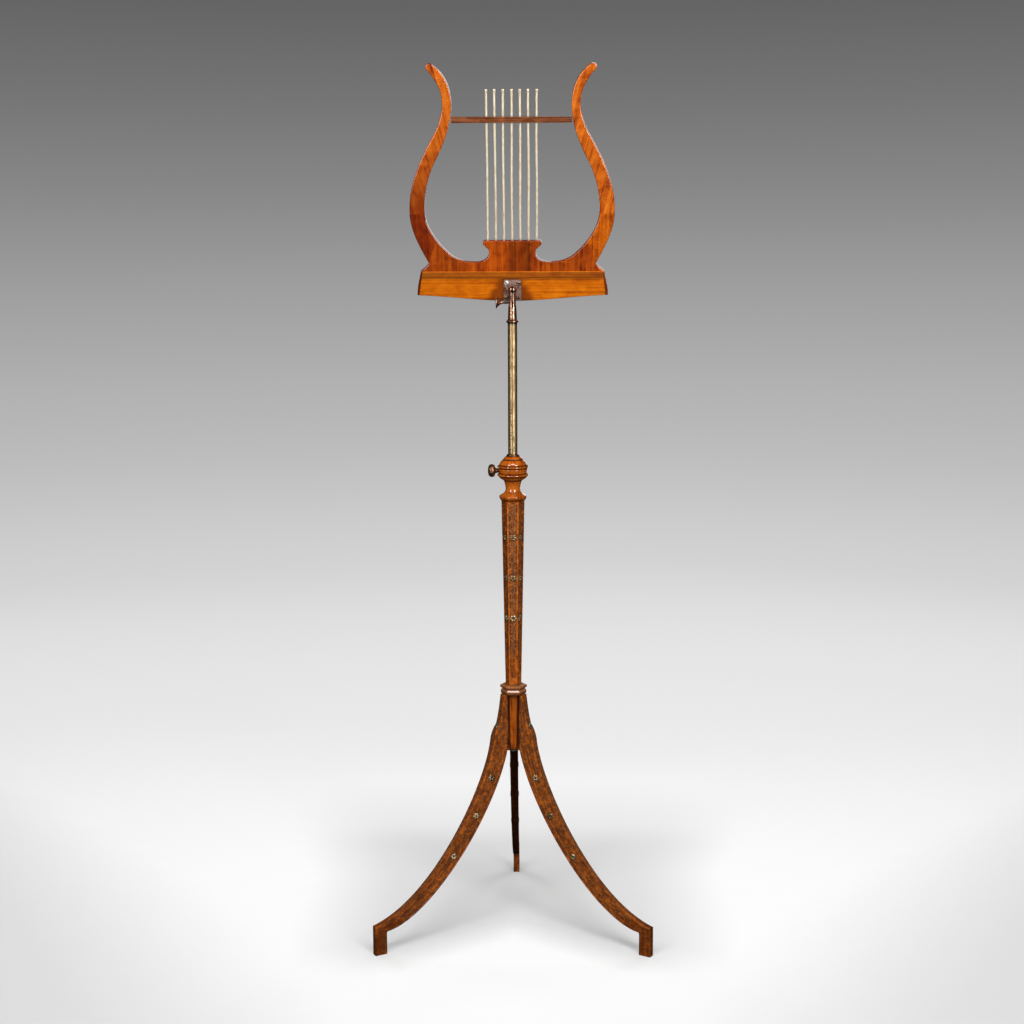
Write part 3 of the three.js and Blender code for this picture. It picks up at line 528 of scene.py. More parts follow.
def add_column():
    rows = 520
    heights = np.linspace(COLUMN_BOTTOM, COLUMN_TOP, rows)
    points, carve, dust = [], [], []
    for z in heights:
        share = (z - COLUMN_BOTTOM) / (COLUMN_TOP - COLUMN_BOTTOM)
        radius = COLUMN_RADIUS_BOTTOM + (COLUMN_RADIUS_TOP - COLUMN_RADIUS_BOTTOM) * share
        ring = hexagon(radius, 1.0, across=25)
        half = radius / 2
        inner = half - 0.13 * 2 * half
        v = ring[:, 4]
        arch = inner * np.sqrt(np.clip(1 - np.clip((z - 659) / 7.5, 0, 1) ** 2, 0, 1))
        arch = arch * np.sqrt(np.clip(1 - np.clip((402 - z) / 6, 0, 1) ** 2, 0, 1))
        inside = sunk_panel(arch - np.abs(v))
        nearest = min(abs(z - place) for place in COLUMN_ROSETTES)
        boss = np.clip((6.6 - np.hypot(nearest, v)) / 0.8, 0, 1)
        spread = np.clip((z - 425) / 25, 0, 1)
        relief = vine(z, v, inner * 0.9, 24.0)
        flutes = 0.5 + 0.5 * np.cos(2 * np.pi * v / 3.2)
        raised = relief * spread + flutes * (1 - spread)
        raised = np.maximum(raised * (1 - boss), 0.45 * boss)
        ground = matting(z, v) * 0.12 * (1 - raised)
        depth = inside * (0.5 * (1 - raised) + ground)
        xy = ring[:, :2] - ring[:, 2:4] * depth[:, None]
        points.append(np.column_stack([xy, np.full(len(xy), z)]))
        slope = 4 * raised * (1 - raised)
        # the four facets that face sideways are made darker, with less lightening and less grey: painted shade
        side = np.clip(1 - np.abs(np.abs(ring[:, 2]) - 0.866) / 0.2, 0, 1)
        margin = 1 - inside
        lightened = 0.35 + 0.45 * np.sin(z / 5.3 + 2 * np.sign(v)) * np.sin(z / 11.7)
        # the carved ground and the relief's steep sides are darkened: painted shade
        painted_ground_shade = inside * ((0.42 + 0.3 * slope) * (1 - raised) * spread + 0.04)
        carve.append(-painted_ground_shade + margin * lightened * (1 - 0.8 * side) - 0.06 * side)
        dust.append(inside * raised * spread * (0.85 - 0.35 * side))
    count = len(points[0])
    faces = grid_faces(rows, count)
    base = rows * count
    turn = np.arctan2(points[0][:, 1], points[0][:, 0])
    inner_rings = [(SOCKET_RADIUS, COLUMN_TOP), (SOCKET_RADIUS, SOCKET_BOTTOM), (BORE_RADIUS, SOCKET_BOTTOM),
                   (BORE_RADIUS, BORE_BOTTOM), (1.0, BORE_BOTTOM)]
    for r, z in inner_rings:
        points.append(np.column_stack([r * np.cos(turn), r * np.sin(turn), np.full(count, z)]))
        # the socket and bore inside are darkened: painted shade
        carve.append(np.full(count, -0.6))
        dust.append(np.zeros(count))
    total = rows + len(inner_rings)
    faces += [tuple(i + (rows - 1) * count for i in f) for f in grid_faces(2, count)]
    faces += [tuple(i + base for i in f) for f in grid_faces(len(inner_rings), count)]
    faces.append(tuple((total - 1) * count + c for c in range(count)))
    faces.append(tuple(range(count))[::-1])
    points = np.vstack(points)
    build("column_shaft", points, faces, "stand", stands_for=("column",), slot="mahogany", material=CARVED,
          grain=upright_grain(points, 1.0), carve=np.concatenate(carve), dust=np.concatenate(dust))


def add_hexagonal(name, profile, rounding, shade, painted_edge_shade, stands_for, seed, dust=0.0):
    """A plain hexagonal piece from [radius to the corners, height] points. Its edge shade argument darkens
    the edges of its facets as painted shade, and its dust and sheen argument mixes grey over all of it."""
    rings, carve = [], []
    for (radius, z), tone in zip(profile, shade):
        ring = hexagon(radius, min(rounding, radius * 0.3), across=17)
        rings.append(np.column_stack([ring[:, :2], np.full(len(ring), z)]))
        edge = np.clip((np.abs(ring[:, 4]) / (radius / 2) - 0.7) / 0.15, 0, 1)
        carve.append(tone - painted_edge_shade * edge)
    count = len(rings[0])
    faces = grid_faces(len(rings), count)
    faces += [tuple(range(count))[::-1], tuple((len(rings) - 1) * count + c for c in range(count))]
    points = np.vstack(rings)
    build(name, points, faces, "stand", stands_for=stands_for, slot="mahogany", material=TURNED,
          grain=upright_grain(points, seed), carve=np.concatenate(carve), dust=np.full(len(points), dust))


def add_hub_and_ring():
    hub = [(10.6, HUB_BOTTOM), (11, HUB_BOTTOM + 0.5), *[(np.interp(z, (HUB_BOTTOM, HUB_TOP), (
        HUB_RADIUS_BOTTOM, HUB_RADIUS_TOP)), z) for z in np.linspace(HUB_BOTTOM + 3, HUB_TOP, 12)]]
    # darker at the top under the base ring, at the bottom, and along the facets' edges beside the legs: painted shade
    tone = np.interp([z for _, z in hub], [HUB_BOTTOM, 289, 298, 345, 360, HUB_TOP],
                     [-0.85, -0.5, -0.2, -0.2, -0.4, -0.85])
    add_hexagonal("hub_block", hub, 0.6, tone, 1.1, ("hub",), 3.0)
    foot = spline([(19.3, 371.5), (19.5, 372.6), (19.6, 374.2), (19.6, 376.4)])
    rim = spline([(18.6, 379.9), (19.9, 380.7), (20.6, 382.2), (20.4, 384), (18.4, 385.2), (14, 386)])
    profile = np.vstack([[(8, 371.5)], foot, [(17.35, 379.2)], rim, [(12.4, 386.5), (8, 386.5)]])
    # darker at its foot over the legs, on its rim and where it meets the column: painted shade; the grey over the whole
    # ring is a painted reflection
    tone = np.interp(profile[:, 1], [371.5, 373.4, 375, 376.4, 379.2, 379.9, 382.4, 385, 386, 386.5],
                     [-0.95, -0.65, -0.5, 0, 0, -0.6, -0.4, -0.25, -0.6, -0.8])
    add_hexagonal("base_moulding", profile, 1.0, tone, 0, ("base_ring",), 5.0, 0.75)


# ---- Legs ----
def hub_face(height):
    share = (height - HUB_BOTTOM) / (HUB_TOP - HUB_BOTTOM)
    return (HUB_RADIUS_BOTTOM + (HUB_RADIUS_TOP - HUB_RADIUS_BOTTOM) * share) * math.cos(math.radians(30))


def even(points, count):
    """The same line with evenly spaced points."""
    step = np.r_[0, np.cumsum(np.linalg.norm(np.diff(points, axis=0), axis=1))]
    places = np.linspace(0, step[-1], count)
    return np.column_stack([np.interp(places, step, points[:, k]) for k in range(points.shape[1])])


def leg_edges():
    """Matching points down a leg's outer and inner edges, as distance from the axis and height."""
    crest = trace((19.4, HUB_TOP), (21.8, 353, 24.6, 336, 27.8, 325.6), (33, 319.5, 36.4, 311, 37.7, 302.4))
    blade = bezier((37.7, 302.4), (45.8, 235.7), (134.6, 70.8), (FOOT_REACH, 44.6), 400)
    under = bezier((13.8, HUB_BOTTOM), (38.4, 181.6), (146, 41.8), (218.5, 34.7), 400)
    back = np.array([(hub_face(HUB_TOP) + 0.3, HUB_TOP), (hub_face(HUB_BOTTOM) + 0.3, HUB_BOTTOM)])
    split = 10
    outer = [even(np.vstack([crest, blade[:split]]), 120), even(blade[split - 1:split + 4], 4),
             even(blade[split + 3:], 430), even(np.array([(FOOT_REACH, 44.6), (FOOT_REACH, 32)]), 14),
             even(np.array([(FOOT_REACH, 32), (FOOT_REACH, 0)]), 40)]
    inner = [even(back, 120), even(np.array([back[1], (13.8, HUB_BOTTOM)]), 4), even(under, 430),
             even(np.array([(218.5, 34.7), (FOOT_INNER, 32)]), 14),
             even(np.array([(FOOT_INNER, 32), (FOOT_INNER, 0)]), 40)]
    return np.vstack(outer), np.vstack(inner)


def leg_side(values, along, width, thick, middle, across, blade):
    """Depth of the carving, and the carve and dust values on a leg's broad side,
    at places across it. The carved ground and the relief's steep sides are darkened as painted shade.
    """
    half = width / 2
    inside = sunk_panel(half - SIDE_MARGIN - np.abs(values), 0.6) * blade
    boss = np.zeros_like(values)
    for spot in LEG_ROSETTES:
        gap = middle + across * values[:, None] - np.array(spot)
        boss = np.maximum(boss, np.clip((5.9 - np.hypot(*gap.T)) / 0.8, 0, 1))
    relief = vine(along, values, half - SIDE_MARGIN, 27.0)
    relief = np.maximum(relief * (1 - boss), 0.5 * boss)
    depth = inside * (1 - relief) * (0.5 + 0.1 * matting(along, values))
    slope = 4 * relief * (1 - relief)
    joint = np.clip((85 - along) / 10, 0, 1) * np.clip((0.2 - (values + half) / width) / 0.12, 0, 1)
    streak = 0.3 * np.sin(along / 23) * np.sin(along / 6.1) * np.clip(values / half, 0, 1)
    # painted shade on the carved ground and the relief's steep sides; lighter streaks, and darker along one edge near
    # the top
    carve = streak - inside * (0.14 + 0.35 * slope) - 0.12 * (1 - inside) - 0.8 * joint
    return depth, carve, 0.4 * inside * relief * (1 - boss)


def leg_edge(values, along, half, blade, foot, carved):
    """The same on its outer or inner edge: the carved ground is darkened as painted shade, and the plain
    inner edge, which faces down, is much darker above the foot as painted shade.
    """
    inside = sunk_panel(half - 1.5 - np.abs(values), 0.5) * blade * carved
    relief = vine(along + 5, values, half - 1.5, 14.0)
    carve = -inside * (1 - relief) * 0.5 - (0.3 if carved else 0.9 * (1 - foot))
    return inside * 0.45 * (1 - relief), carve, inside * relief * 0.6


def leg_surface():
    """Points of a leg along +X, with its carving, its faces, and grain, carve and
    dust attributes.
    """
    outer, inner = leg_edges()
    centre = (outer + inner) / 2
    down = np.r_[0, np.cumsum(np.linalg.norm(np.diff(centre, axis=0), axis=1))]
    turn = np.radians([22.5, 45, 67.5])
    points, grain, tones = [], [], []
    for o, i, m, s in zip(outer, inner, centre, down):
        width = np.linalg.norm(o - i)
        t = (o - i) / width
        thick = LEG_THICKNESS + (FOOT_THICKNESS - LEG_THICKNESS) * min(max(m[0] / FOOT_REACH, 0), 1)
        reach, deep = width / 2 - LEG_ROUNDING, thick / 2 - LEG_ROUNDING
        blade = np.clip((s - 4) / 8, 0, 1) * np.clip((down[-1] - 62 - s) / 14, 0, 1)
        foot = np.clip((s - down[-1] + 60) / 10, 0, 1)
        across = np.linspace(reach, -reach, 30)
        side = leg_side(across, s, width, thick, m, t, blade)
        through = np.linspace(deep, -deep, 15)
        front = leg_edge(through, s, thick / 2, blade, foot, True)
        under = leg_edge(-through, s, thick / 2, blade, foot, False)
        corner_v, corner_y = reach + LEG_ROUNDING * np.cos(turn), deep + LEG_ROUNDING * np.sin(turn)
        arris = np.full(3, (0.3 * math.sin(s / 9) * math.sin(s / 23 + 1) - 0.12) * (1 - foot))
        # the corners beside the downward-facing inner edge are darkened: painted shade
        painted_under_shade, bare = np.full(3, -0.5 * (1 - foot)), np.zeros(3)
        ring = np.vstack([
            np.column_stack([width / 2 - front[0], through, *front[1:]]),
            np.column_stack([corner_v, -corner_y, arris, bare]),
            np.column_stack([across, side[0] - thick / 2, *side[1:]]),
            np.column_stack([-corner_v[::-1], -corner_y[::-1], painted_under_shade, bare]),
            np.column_stack([under[0] - width / 2, -through, *under[1:]]),
            np.column_stack([-corner_v, corner_y, painted_under_shade, bare]),
            np.column_stack([across[::-1], thick / 2 - side[0][::-1], side[1][::-1], side[2][::-1]]),
            np.column_stack([corner_v[::-1], corner_y[::-1], arris, bare])])
        place = m + ring[:, :1] * t
        points.append(np.column_stack([place[:, 0], ring[:, 1], place[:, 1]]))
        grain.append(np.column_stack([np.full(len(ring), s), ring[:, 0], ring[:, 1]]))
        tones.append(ring[:, 2:])
    count = len(points[0])
    faces = grid_faces(len(points), count)
    faces += [tuple(range(count))[::-1], tuple((len(points) - 1) * count + c for c in range(count))]
    return np.vstack(points), faces, np.vstack(grain), np.vstack(tones)


def turn_about_z(points, degrees):
    a = math.radians(degrees)
    x, y = points[:, 0], points[:, 1]
    return np.column_stack([x * math.cos(a) - y * math.sin(a), x * math.sin(a) + y * math.cos(a), points[:, 2]])


def add_legs():
    points, faces, grain, tones = leg_surface()
    for seed, (name, angle) in enumerate(LEG_ANGLES.items()):
        build(name.replace("leg", "sabre_leg"), turn_about_z(points, angle), faces, "stand",
              stands_for=(name,), slot="mahogany", material=CARVED, grain=grain + 131.0 * seed,
              carve=tones[:, 0], dust=tones[:, 1], deep=0.55 * np.clip((60 - points[:, 2]) / 20, 0, 1))


# ---- Rosettes ----
def rosette(radius=5.4, petals=6):
    """A small pressed flower lying in XY with its back at Z 0, pierced in the middle."""
    rings, sides = 9, 48
    turn = np.linspace(0, 2 * np.pi, sides, endpoint=False)
    lobe = np.abs(np.cos(petals * turn / 2)) ** 0.6
    points, carve = [], []
    for i in range(rings):
        share = i / (rings - 1)
        r = radius * (0.24 + 0.76 * share) * (1 - share * 0.3 * (1 - lobe))
        height = 1.15 * math.sin(math.pi * min(0.12 + share * 0.95, 1)) + 0.25
        z = height * (0.55 + 0.45 * lobe)
        if i == 0:
            z = z * 0 + 0.35
        if i == rings - 1:
            z = z * 0 + 0.2
        points.append(np.column_stack([r * np.cos(turn), r * np.sin(turn), z]))
        # darker between the petals; the pierced middle and the underside darkened as painted shade
        carve.append(-(1 - lobe) * share * 0.75 - (0.9 if i == 0 else 0))
    points.append(np.column_stack([points[-1][:, :2], np.zeros(sides)]))
    carve.append(np.full(sides, -0.8))
    points.insert(0, np.column_stack([points[0][:, :2] * 0.8, np.zeros(sides)]))
    carve.insert(0, np.full(sides, -1.0))
    count = len(points)
    faces = grid_faces(count, sides)
    faces += [((count - 1) * sides + c, (count - 1) * sides + (c + 1) % sides, (c + 1) % sides, c)
              for c in range(sides)]
    return np.vstack(points), faces, np.concatenate(carve)


def merge(parts):
    """Several (points, faces, carve) as one."""
    points, faces, carve, base = [], [], [], 0
    for p, f, c in parts:
        points.append(p)
        carve.append(c)
        faces += [tuple(i + base for i in face) for face in f]
        base += len(p)
    return np.vstack(points), faces, np.concatenate(carve)


def stood_on(points, normal, up, origin):
    """Points from a lying local frame placed with local Z along a normal."""
    normal = np.array(normal, float) / np.linalg.norm(normal)
    up = np.array(up, float) - normal * np.dot(up, normal)
    up /= np.linalg.norm(up)
    side = np.cross(up, normal)
    return points[:, :1] * side + points[:, 1:2] * up + points[:, 2:3] * normal + np.array(origin, float)


def add_rosettes():
    slope = (COLUMN_RADIUS_TOP - COLUMN_RADIUS_BOTTOM) / (COLUMN_TOP - COLUMN_BOTTOM) * math.cos(math.radians(30))
    parts = []
    for z in COLUMN_ROSETTES:
        share = (z - COLUMN_BOTTOM) / (COLUMN_TOP - COLUMN_BOTTOM)
        apothem = (COLUMN_RADIUS_BOTTOM + (COLUMN_RADIUS_TOP - COLUMN_RADIUS_BOTTOM) * share) * math.cos(
            math.radians(30))
        for k in range(6):
            a = math.radians(-90 + 60 * k)
            out = np.array([math.cos(a), math.sin(a), -slope])
            spot, faces, carve = rosette(5.0)
            place = (math.cos(a) * (apothem - 0.45), math.sin(a) * (apothem - 0.45), z)
            parts.append((stood_on(spot, out, (0, 0, 1), place), faces, carve))
    points, faces, carve = merge(parts)
    build("column_rosettes", points, faces, "stand", slot="bronze", material=ROSETTE_BRASS, carve=carve)
    for name, angle in LEG_ANGLES.items():
        parts = []
        for r, z in LEG_ROSETTES:
            thick = LEG_THICKNESS + (FOOT_THICKNESS - LEG_THICKNESS) * r / FOOT_REACH
            for sign in (-1, 1):
                spot, faces, carve = rosette(5.3)
                place = (r, sign * (thick / 2 - 0.42), z)
                parts.append((stood_on(spot, (0, sign, 0), (0, 0, 1), place), faces, carve))
        spot, faces, carve = rosette(4.4)
        parts.append((stood_on(spot, (0.94, 0, 0.34), (0, 0, 1), (29.4, 0, 324.4)), faces, carve))
        points, faces, carve = merge(parts)
        build(name.replace("leg", "rosettes"), turn_about_z(points, angle), faces, "stand", slot="bronze",
              material=ROSETTE_BRASS, carve=carve)


# ---- Collar, knob, pole ----
def add_collar():
    foot = spline([(18.2, 669), (19.2, 670.4), (20.2, 672.8), (20.5, 674.4), (20.1, 675.4)])
    neck = spline([(19.4, 675.9), (16.4, 677.6), (13.4, 679.8), (11.6, 682.4), (10.9, 685.6), (11.3, 690), (12.4, 694.6),
                   (13.4, 698)])
    cup = spline([(14, 698.7), (17.2, 700.6), (20.2, 703), (20.9, 704.6)])
    band = spline([(20.3, 709.3), (20.8, 710), (21.4, 712.8), (21.9, 715.6), (20.8, 716.7)])
    dome = spline([(19.8, 721.6), (20.2, 722.2), (19.6, 723.8), (18.2, 726.2), (16.4, 728.4), (14.8, 729.6)])
    cap = spline([(14, 730.4), (13.7, 731.4), (12.4, 733), (10.2, 734.7)])
    hollow = [(8.9, 735), (8.9, 721.7), (7.5, 721.7), (7.5, 645), (10, 645), (10, 669)]
    points, faces = turned([foot, neck, cup, arc((21.5, 706.8), 1.7, -80, 80), [(20.4, 708.8)], band,
                            [(20.4, 717.2)], arc((21.4, 719.2), 1.7, -75, 80), [(20, 721.1)], dome, cap, hollow],
                           96, closed=True)
    radius = np.hypot(points[:, 0], points[:, 1])
    grooves = ((669, 1.4), (698.4, 1.2), (704.4, 1), (709, 1), (717, 1), (721.3, 1.1), (730, 1.2),
               (735, 0.9))
    # painted shade in the grooves and the bore; lighter on the neck and the band, darker at the neck's flare and the
    # foot, set by height
    carve = 0.12 - sum(1.1 * bell(points[:, 2] - height, reach) for height, reach in grooves)
    height = points[:, 2]
    carve += 0.8 * np.clip((height - 682) / 3, 0, 1) * np.clip((699 - height) / 5, 0, 1)
    carve += 0.3 * bell(height - 713, 3) - 0.48 * bell(height - 681, 2) - 0.2 * (height < 676)
    carve = np.where(radius < 10.2, -0.6, carve)
    piece = build("collar_turning", points, faces, "stand", stands_for=("collar",), slot="mahogany",
                  material=TURNED, grain=upright_grain(points, 7.0), carve=carve)
    for radius, low, high in ((4.7, -30, -10.7), (3.3, -20, -5)):
        tool, faces = turned([[(radius, -high), (radius, -low)]], 32)
        tool = along_x(tool, CLAMP_HEIGHT)
        matrix = np.array(STAND)
        cut_with(piece, (tool @ matrix[:3, :3].T + matrix[:3, 3], [f[::-1] for f in faces]))
    inner = POLE_RADIUS + 0.1
    bush = [[(inner, 722), (8.6, 722), (8.6, 735.3), (9.4, 735.3)], arc((8.7, 736.2), 0.8, -60, 80, 6),
            [(8.1, 737.6), (inner, 738)]]
    points, faces = turned(bush, 64, closed=True)
    build("bush_ring", points, faces, "stand", stands_for=("pole_bush",), slot="bronze", material=KNOB_BRONZE,
          carve=np.full(len(points), -0.1))


def add_knob():
    profile = [[(0.3, 9.4), (2.2, 9.4), (2.95, 10.2), (2.95, 21.8)],
               spline([(2.95, 21.8), (3.3, 22.4), (3.7, 24.4), (4.6, 26.2)]),
               spline([(4.6, 26.2), (7.4, 27), (9.2, 28.6), (9.7, 31), (9.4, 33), (8.2, 35), (5.4, 36.6),
                       (2.4, 37.1), (0.3, 37.2)])]
    points, faces = turned(profile, 64)
    far = points[:, 2]
    # darker on the shank by the collar and at the neck: painted shade
    carve = np.interp(far, [21, 24, 26.4, 28, 37], [-0.7, -0.2, -0.5, 0, 0])
    build("height_knob_turning", along_x(points, CLAMP_HEIGHT), [f[::-1] for f in faces], "height_knob",
          stands_for=("height_knob",), slot="bronze", material=KNOB_BRONZE, carve=carve)


def add_pole():
    inner = POLE_RADIUS - 1
    low, high = POLE_BOTTOM, POLE_TOP
    heights = np.linspace(low + 1, high - 1, 120)
    wander = 0.035 * np.sin(heights / 17) + 0.025 * np.sin(heights / 5.3)
    wall = np.column_stack([POLE_RADIUS - 0.05 + wander * 0.6, heights])
    profile = [[(inner, low), (POLE_RADIUS - 0.4, low)], wall, [(POLE_RADIUS - 0.4, high), (inner, high)]]
    points, faces = turned(profile, 64, closed=True)
    # darker where it goes into the bush and the ferrule: painted shade
    carve = np.interp(points[:, 2], [low, 738, 742, 900, 925, high], [0, -0.25, -0.02, -0.02, -0.1, -0.5])
    build("brass_pole", points, faces, "pole", stands_for=("pole_tube",), slot="pole_brass",
          material=POLE_BRASS, carve=carve)


def add_fork():
    ferrule = [[(0.3, 905.2), (5.9, 905.2), (5.9, 930.2), (7.2, 930.2), (7.2, 931.2), (6.8, 931.8)]]
    neck = [arc((7.2, 934.1), 1.9, -75, 75, 14), spline([(6.9, 936.8), (6.6, 939), (6.25, 948), (5.9, 956.7)]),
            [(5.4, 958), (5.3, 973)]]
    start = -math.acos(5.3 / 7.1)
    turn = np.linspace(start, math.pi / 2 - 0.05, 24)
    ball = np.column_stack([7.1 * np.cos(turn), PIVOT_HEIGHT + 6.2 * np.sin(turn)])
    points, faces = turned([*ferrule, *neck, ball, [(0.3, PIVOT_HEIGHT + 6.2)]], 64)
    # darker in the grooves: painted shade
    carve = np.interp(points[:, 2], [930, 931.6, 932.4, 934, 936, 936.6, 940, 970, 973.5, 975.5, 990],
                      [-0.6, -0.8, -0.2, 0, -0.2, -0.7, 0, 0, -0.55, -0.1, 0])
    piece = build("fork_head", points, faces, "head", stands_for=("fork",), slot="bronze", material=BRONZE,
                  carve=carve)
    slot, slot_faces = block((-SLOT_HALF, SLOT_HALF), (-12, 12), (954.5, 995))
    slot[(slot[:, 1] > AXIS_Y) & (slot[:, 2] < 0.96), 2] += 10 * MM
    cut_with(piece, (slot, slot_faces))
    # inside the slot, near-black: painted shade
    tones = piece.data.attributes["carve"].data
    for vertex in piece.data.vertices:
        if abs(vertex.co.x) < (SLOT_HALF + 0.1) * MM and vertex.co.z > 954 * MM:
            tones[vertex.index].value = -0.97
    matrix = np.array(STAND)
    for radius, height in ((1.6, PIVOT_HEIGHT), (2.2, TILT_SCREW_HEIGHT)):
        tool, tool_faces = turned([[(radius, -12), (radius, 12)]], 24)
        tool = along_x(tool, height)
        cut_with(piece, (tool @ matrix[:3, :3].T + matrix[:3, 3], [f[::-1] for f in tool_faces]))


def add_tilt_screw():
    share = np.linspace(0, 1, 16)
    flare = np.column_stack([2 + 6.2 * share**3, 12 + 10 * share])
    profile = [[(0.2, -5), (1.4, -5), (1.9, -4.4), (1.9, 8.4)], arc((1.9, 9.2), 0.7, -80, 80, 8), [(1.9, 10)],
               flare, arc((7.7, 23.2), 0.9, -60, 80, 8), [(6.6, 24.2), (0.2, 24.5)]]
    points, faces = turned(profile, 64)
    # darker on the shank inside the fork and in the groove by the head: painted shade
    carve = np.interp(points[:, 2], [5, 5.6, 7, 8.6, 10.2, 11], [-0.95, -0.3, -0.2, -0.7, -0.7, 0])
    build("tilt_thumbscrew", along_x(points, TILT_SCREW_HEIGHT), [f[::-1] for f in faces], "tilt_screw",
          stands_for=("tilt_screw",), slot="bronze", material=BRONZE, carve=carve)


# ---- Desk ----
def add_hinge():
    plate = [(-13, -18.3), (13, -18.3), (13, 12.6), (-13, 12.6)]
    corners = []
    for (x, z), start in zip(plate, (180, 270, 0, 90)):
        sx, sz = math.copysign(1, x), 1 if z > 0 else -1
        corners.append(arc((x - sx * 1.4, z - sz * 1.4), 1.4, start, start + 90, 5))
    points, faces, rim = board(np.vstack(corners), PLATE_FRONT, PLATE_BACK, 0.35, 2)
    # the plate's edges darkened: painted shade
    piece = build("hinge_leaf", points, faces, "desk", DESK, ("hinge_plate",), "bronze", PLATE,
                  carve=-0.25 * rim)
    eye = [(5.2 * math.cos(a), 5.2 * math.sin(a)) for a in np.radians(np.linspace(28, 332, 40))]
    outline = [(y, z) for y, z in eye]
    outline = [(z, y) for y, z in [(9.5, -4.4), *[(p[0], p[1]) for p in outline][::-1], (9.5, 4.4)]]
    flat = np.array([(y, z) for z, y in outline])
    points, faces, rim = board(flat, -0.95, 0.95, 0.2, 2)
    points = np.column_stack([points[:, 1], points[:, 0], points[:, 2]])
    # the tongue, which sits in the fork's slot, is darkened: painted shade
    build("hinge_tongue", points, [f[::-1] for f in faces], "desk", DESK, (), "bronze", PLATE,
          carve=0 * rim - 0.85)
    # the first screw takes the lighter metal as a painted highlight; the other three take the plate's metal
    for index, (x, z) in enumerate(((-8.8, 8), (8.8, 8), (-8.8, -13.4), (8.8, -13.4))):
        add_screw(f"plate_screw_head_{index + 1}", f"plate_screw_{index + 1}", x, z, 135 + 35 * index,
                  SCREW_PAINTED_HIGHLIGHT if index == 0 else PLATE)
    return piece


def add_screw(name, node, x, z, angle, material):
    """A domed, slotted screw in the hinge plate; its head is towards -Y."""
    seat = PLATE_FRONT - 0.3
    dome = [[(0.2, -1.7)], spline([(0.2, -1.7), (1.9, -1.55), (3.0, -1.0), (3.4, -0.2)]), [(3.4, 0), (1.4, 0),
            (1.4, 6), (0.2, 8.8)]]
    points, faces = turned(dome, 40)
    a = math.radians(angle)
    local = np.column_stack([points[:, 0] + x, points[:, 2] + seat, points[:, 1] + z])
    # the head's underside and the shank are darkened: painted shade
    piece = build(name, local, [f[::-1] for f in faces], "desk", DESK, (node,), "bronze", material,
                  carve=-0.4 * (points[:, 2] > -0.1))
    corners = np.array([(u, n, w) for u in (-4.2, 4.2) for n in (-2.7, -0.75) for w in (-0.6, 0.6)])
    turned_box = np.column_stack([corners[:, 0] * math.cos(a) - corners[:, 2] * math.sin(a) + x,
                                  corners[:, 1] + seat,
                                  corners[:, 0] * math.sin(a) + corners[:, 2] * math.cos(a) + z])
    faces = [(0, 1, 3, 2), (4, 6, 7, 5), (0, 4, 5, 1), (2, 3, 7, 6), (0, 2, 6, 4), (1, 5, 7, 3)]
    matrix = np.array(DESK)
    cut_with(piece, (turned_box @ matrix[:3, :3].T + matrix[:3, 3], faces))
    # the slot is near-black: painted shade
    tones = piece.data.attributes["carve"].data
    for vertex in piece.data.vertices:
        spot = DESK.inverted() @ vertex.co
        if abs((spot.z - z) * math.cos(a) - (spot.x - x) * math.sin(a)) < 0.62 and spot.y < seat - 0.5:
            tones[vertex.index].value = -0.95


def bow(x, end):
    """Height of the rail's and the panel's lower edge: a shallow bow, deepest in the middle."""
    curve = bezier((0, -19.6), (end[0] * 0.35, -19.6), (end[0] * 0.6, end[1] - 2.6), end, 60)
    curve = np.vstack([[(0, -19.6)], curve])
    return np.interp(np.abs(x), curve[:, 0], curve[:, 1])


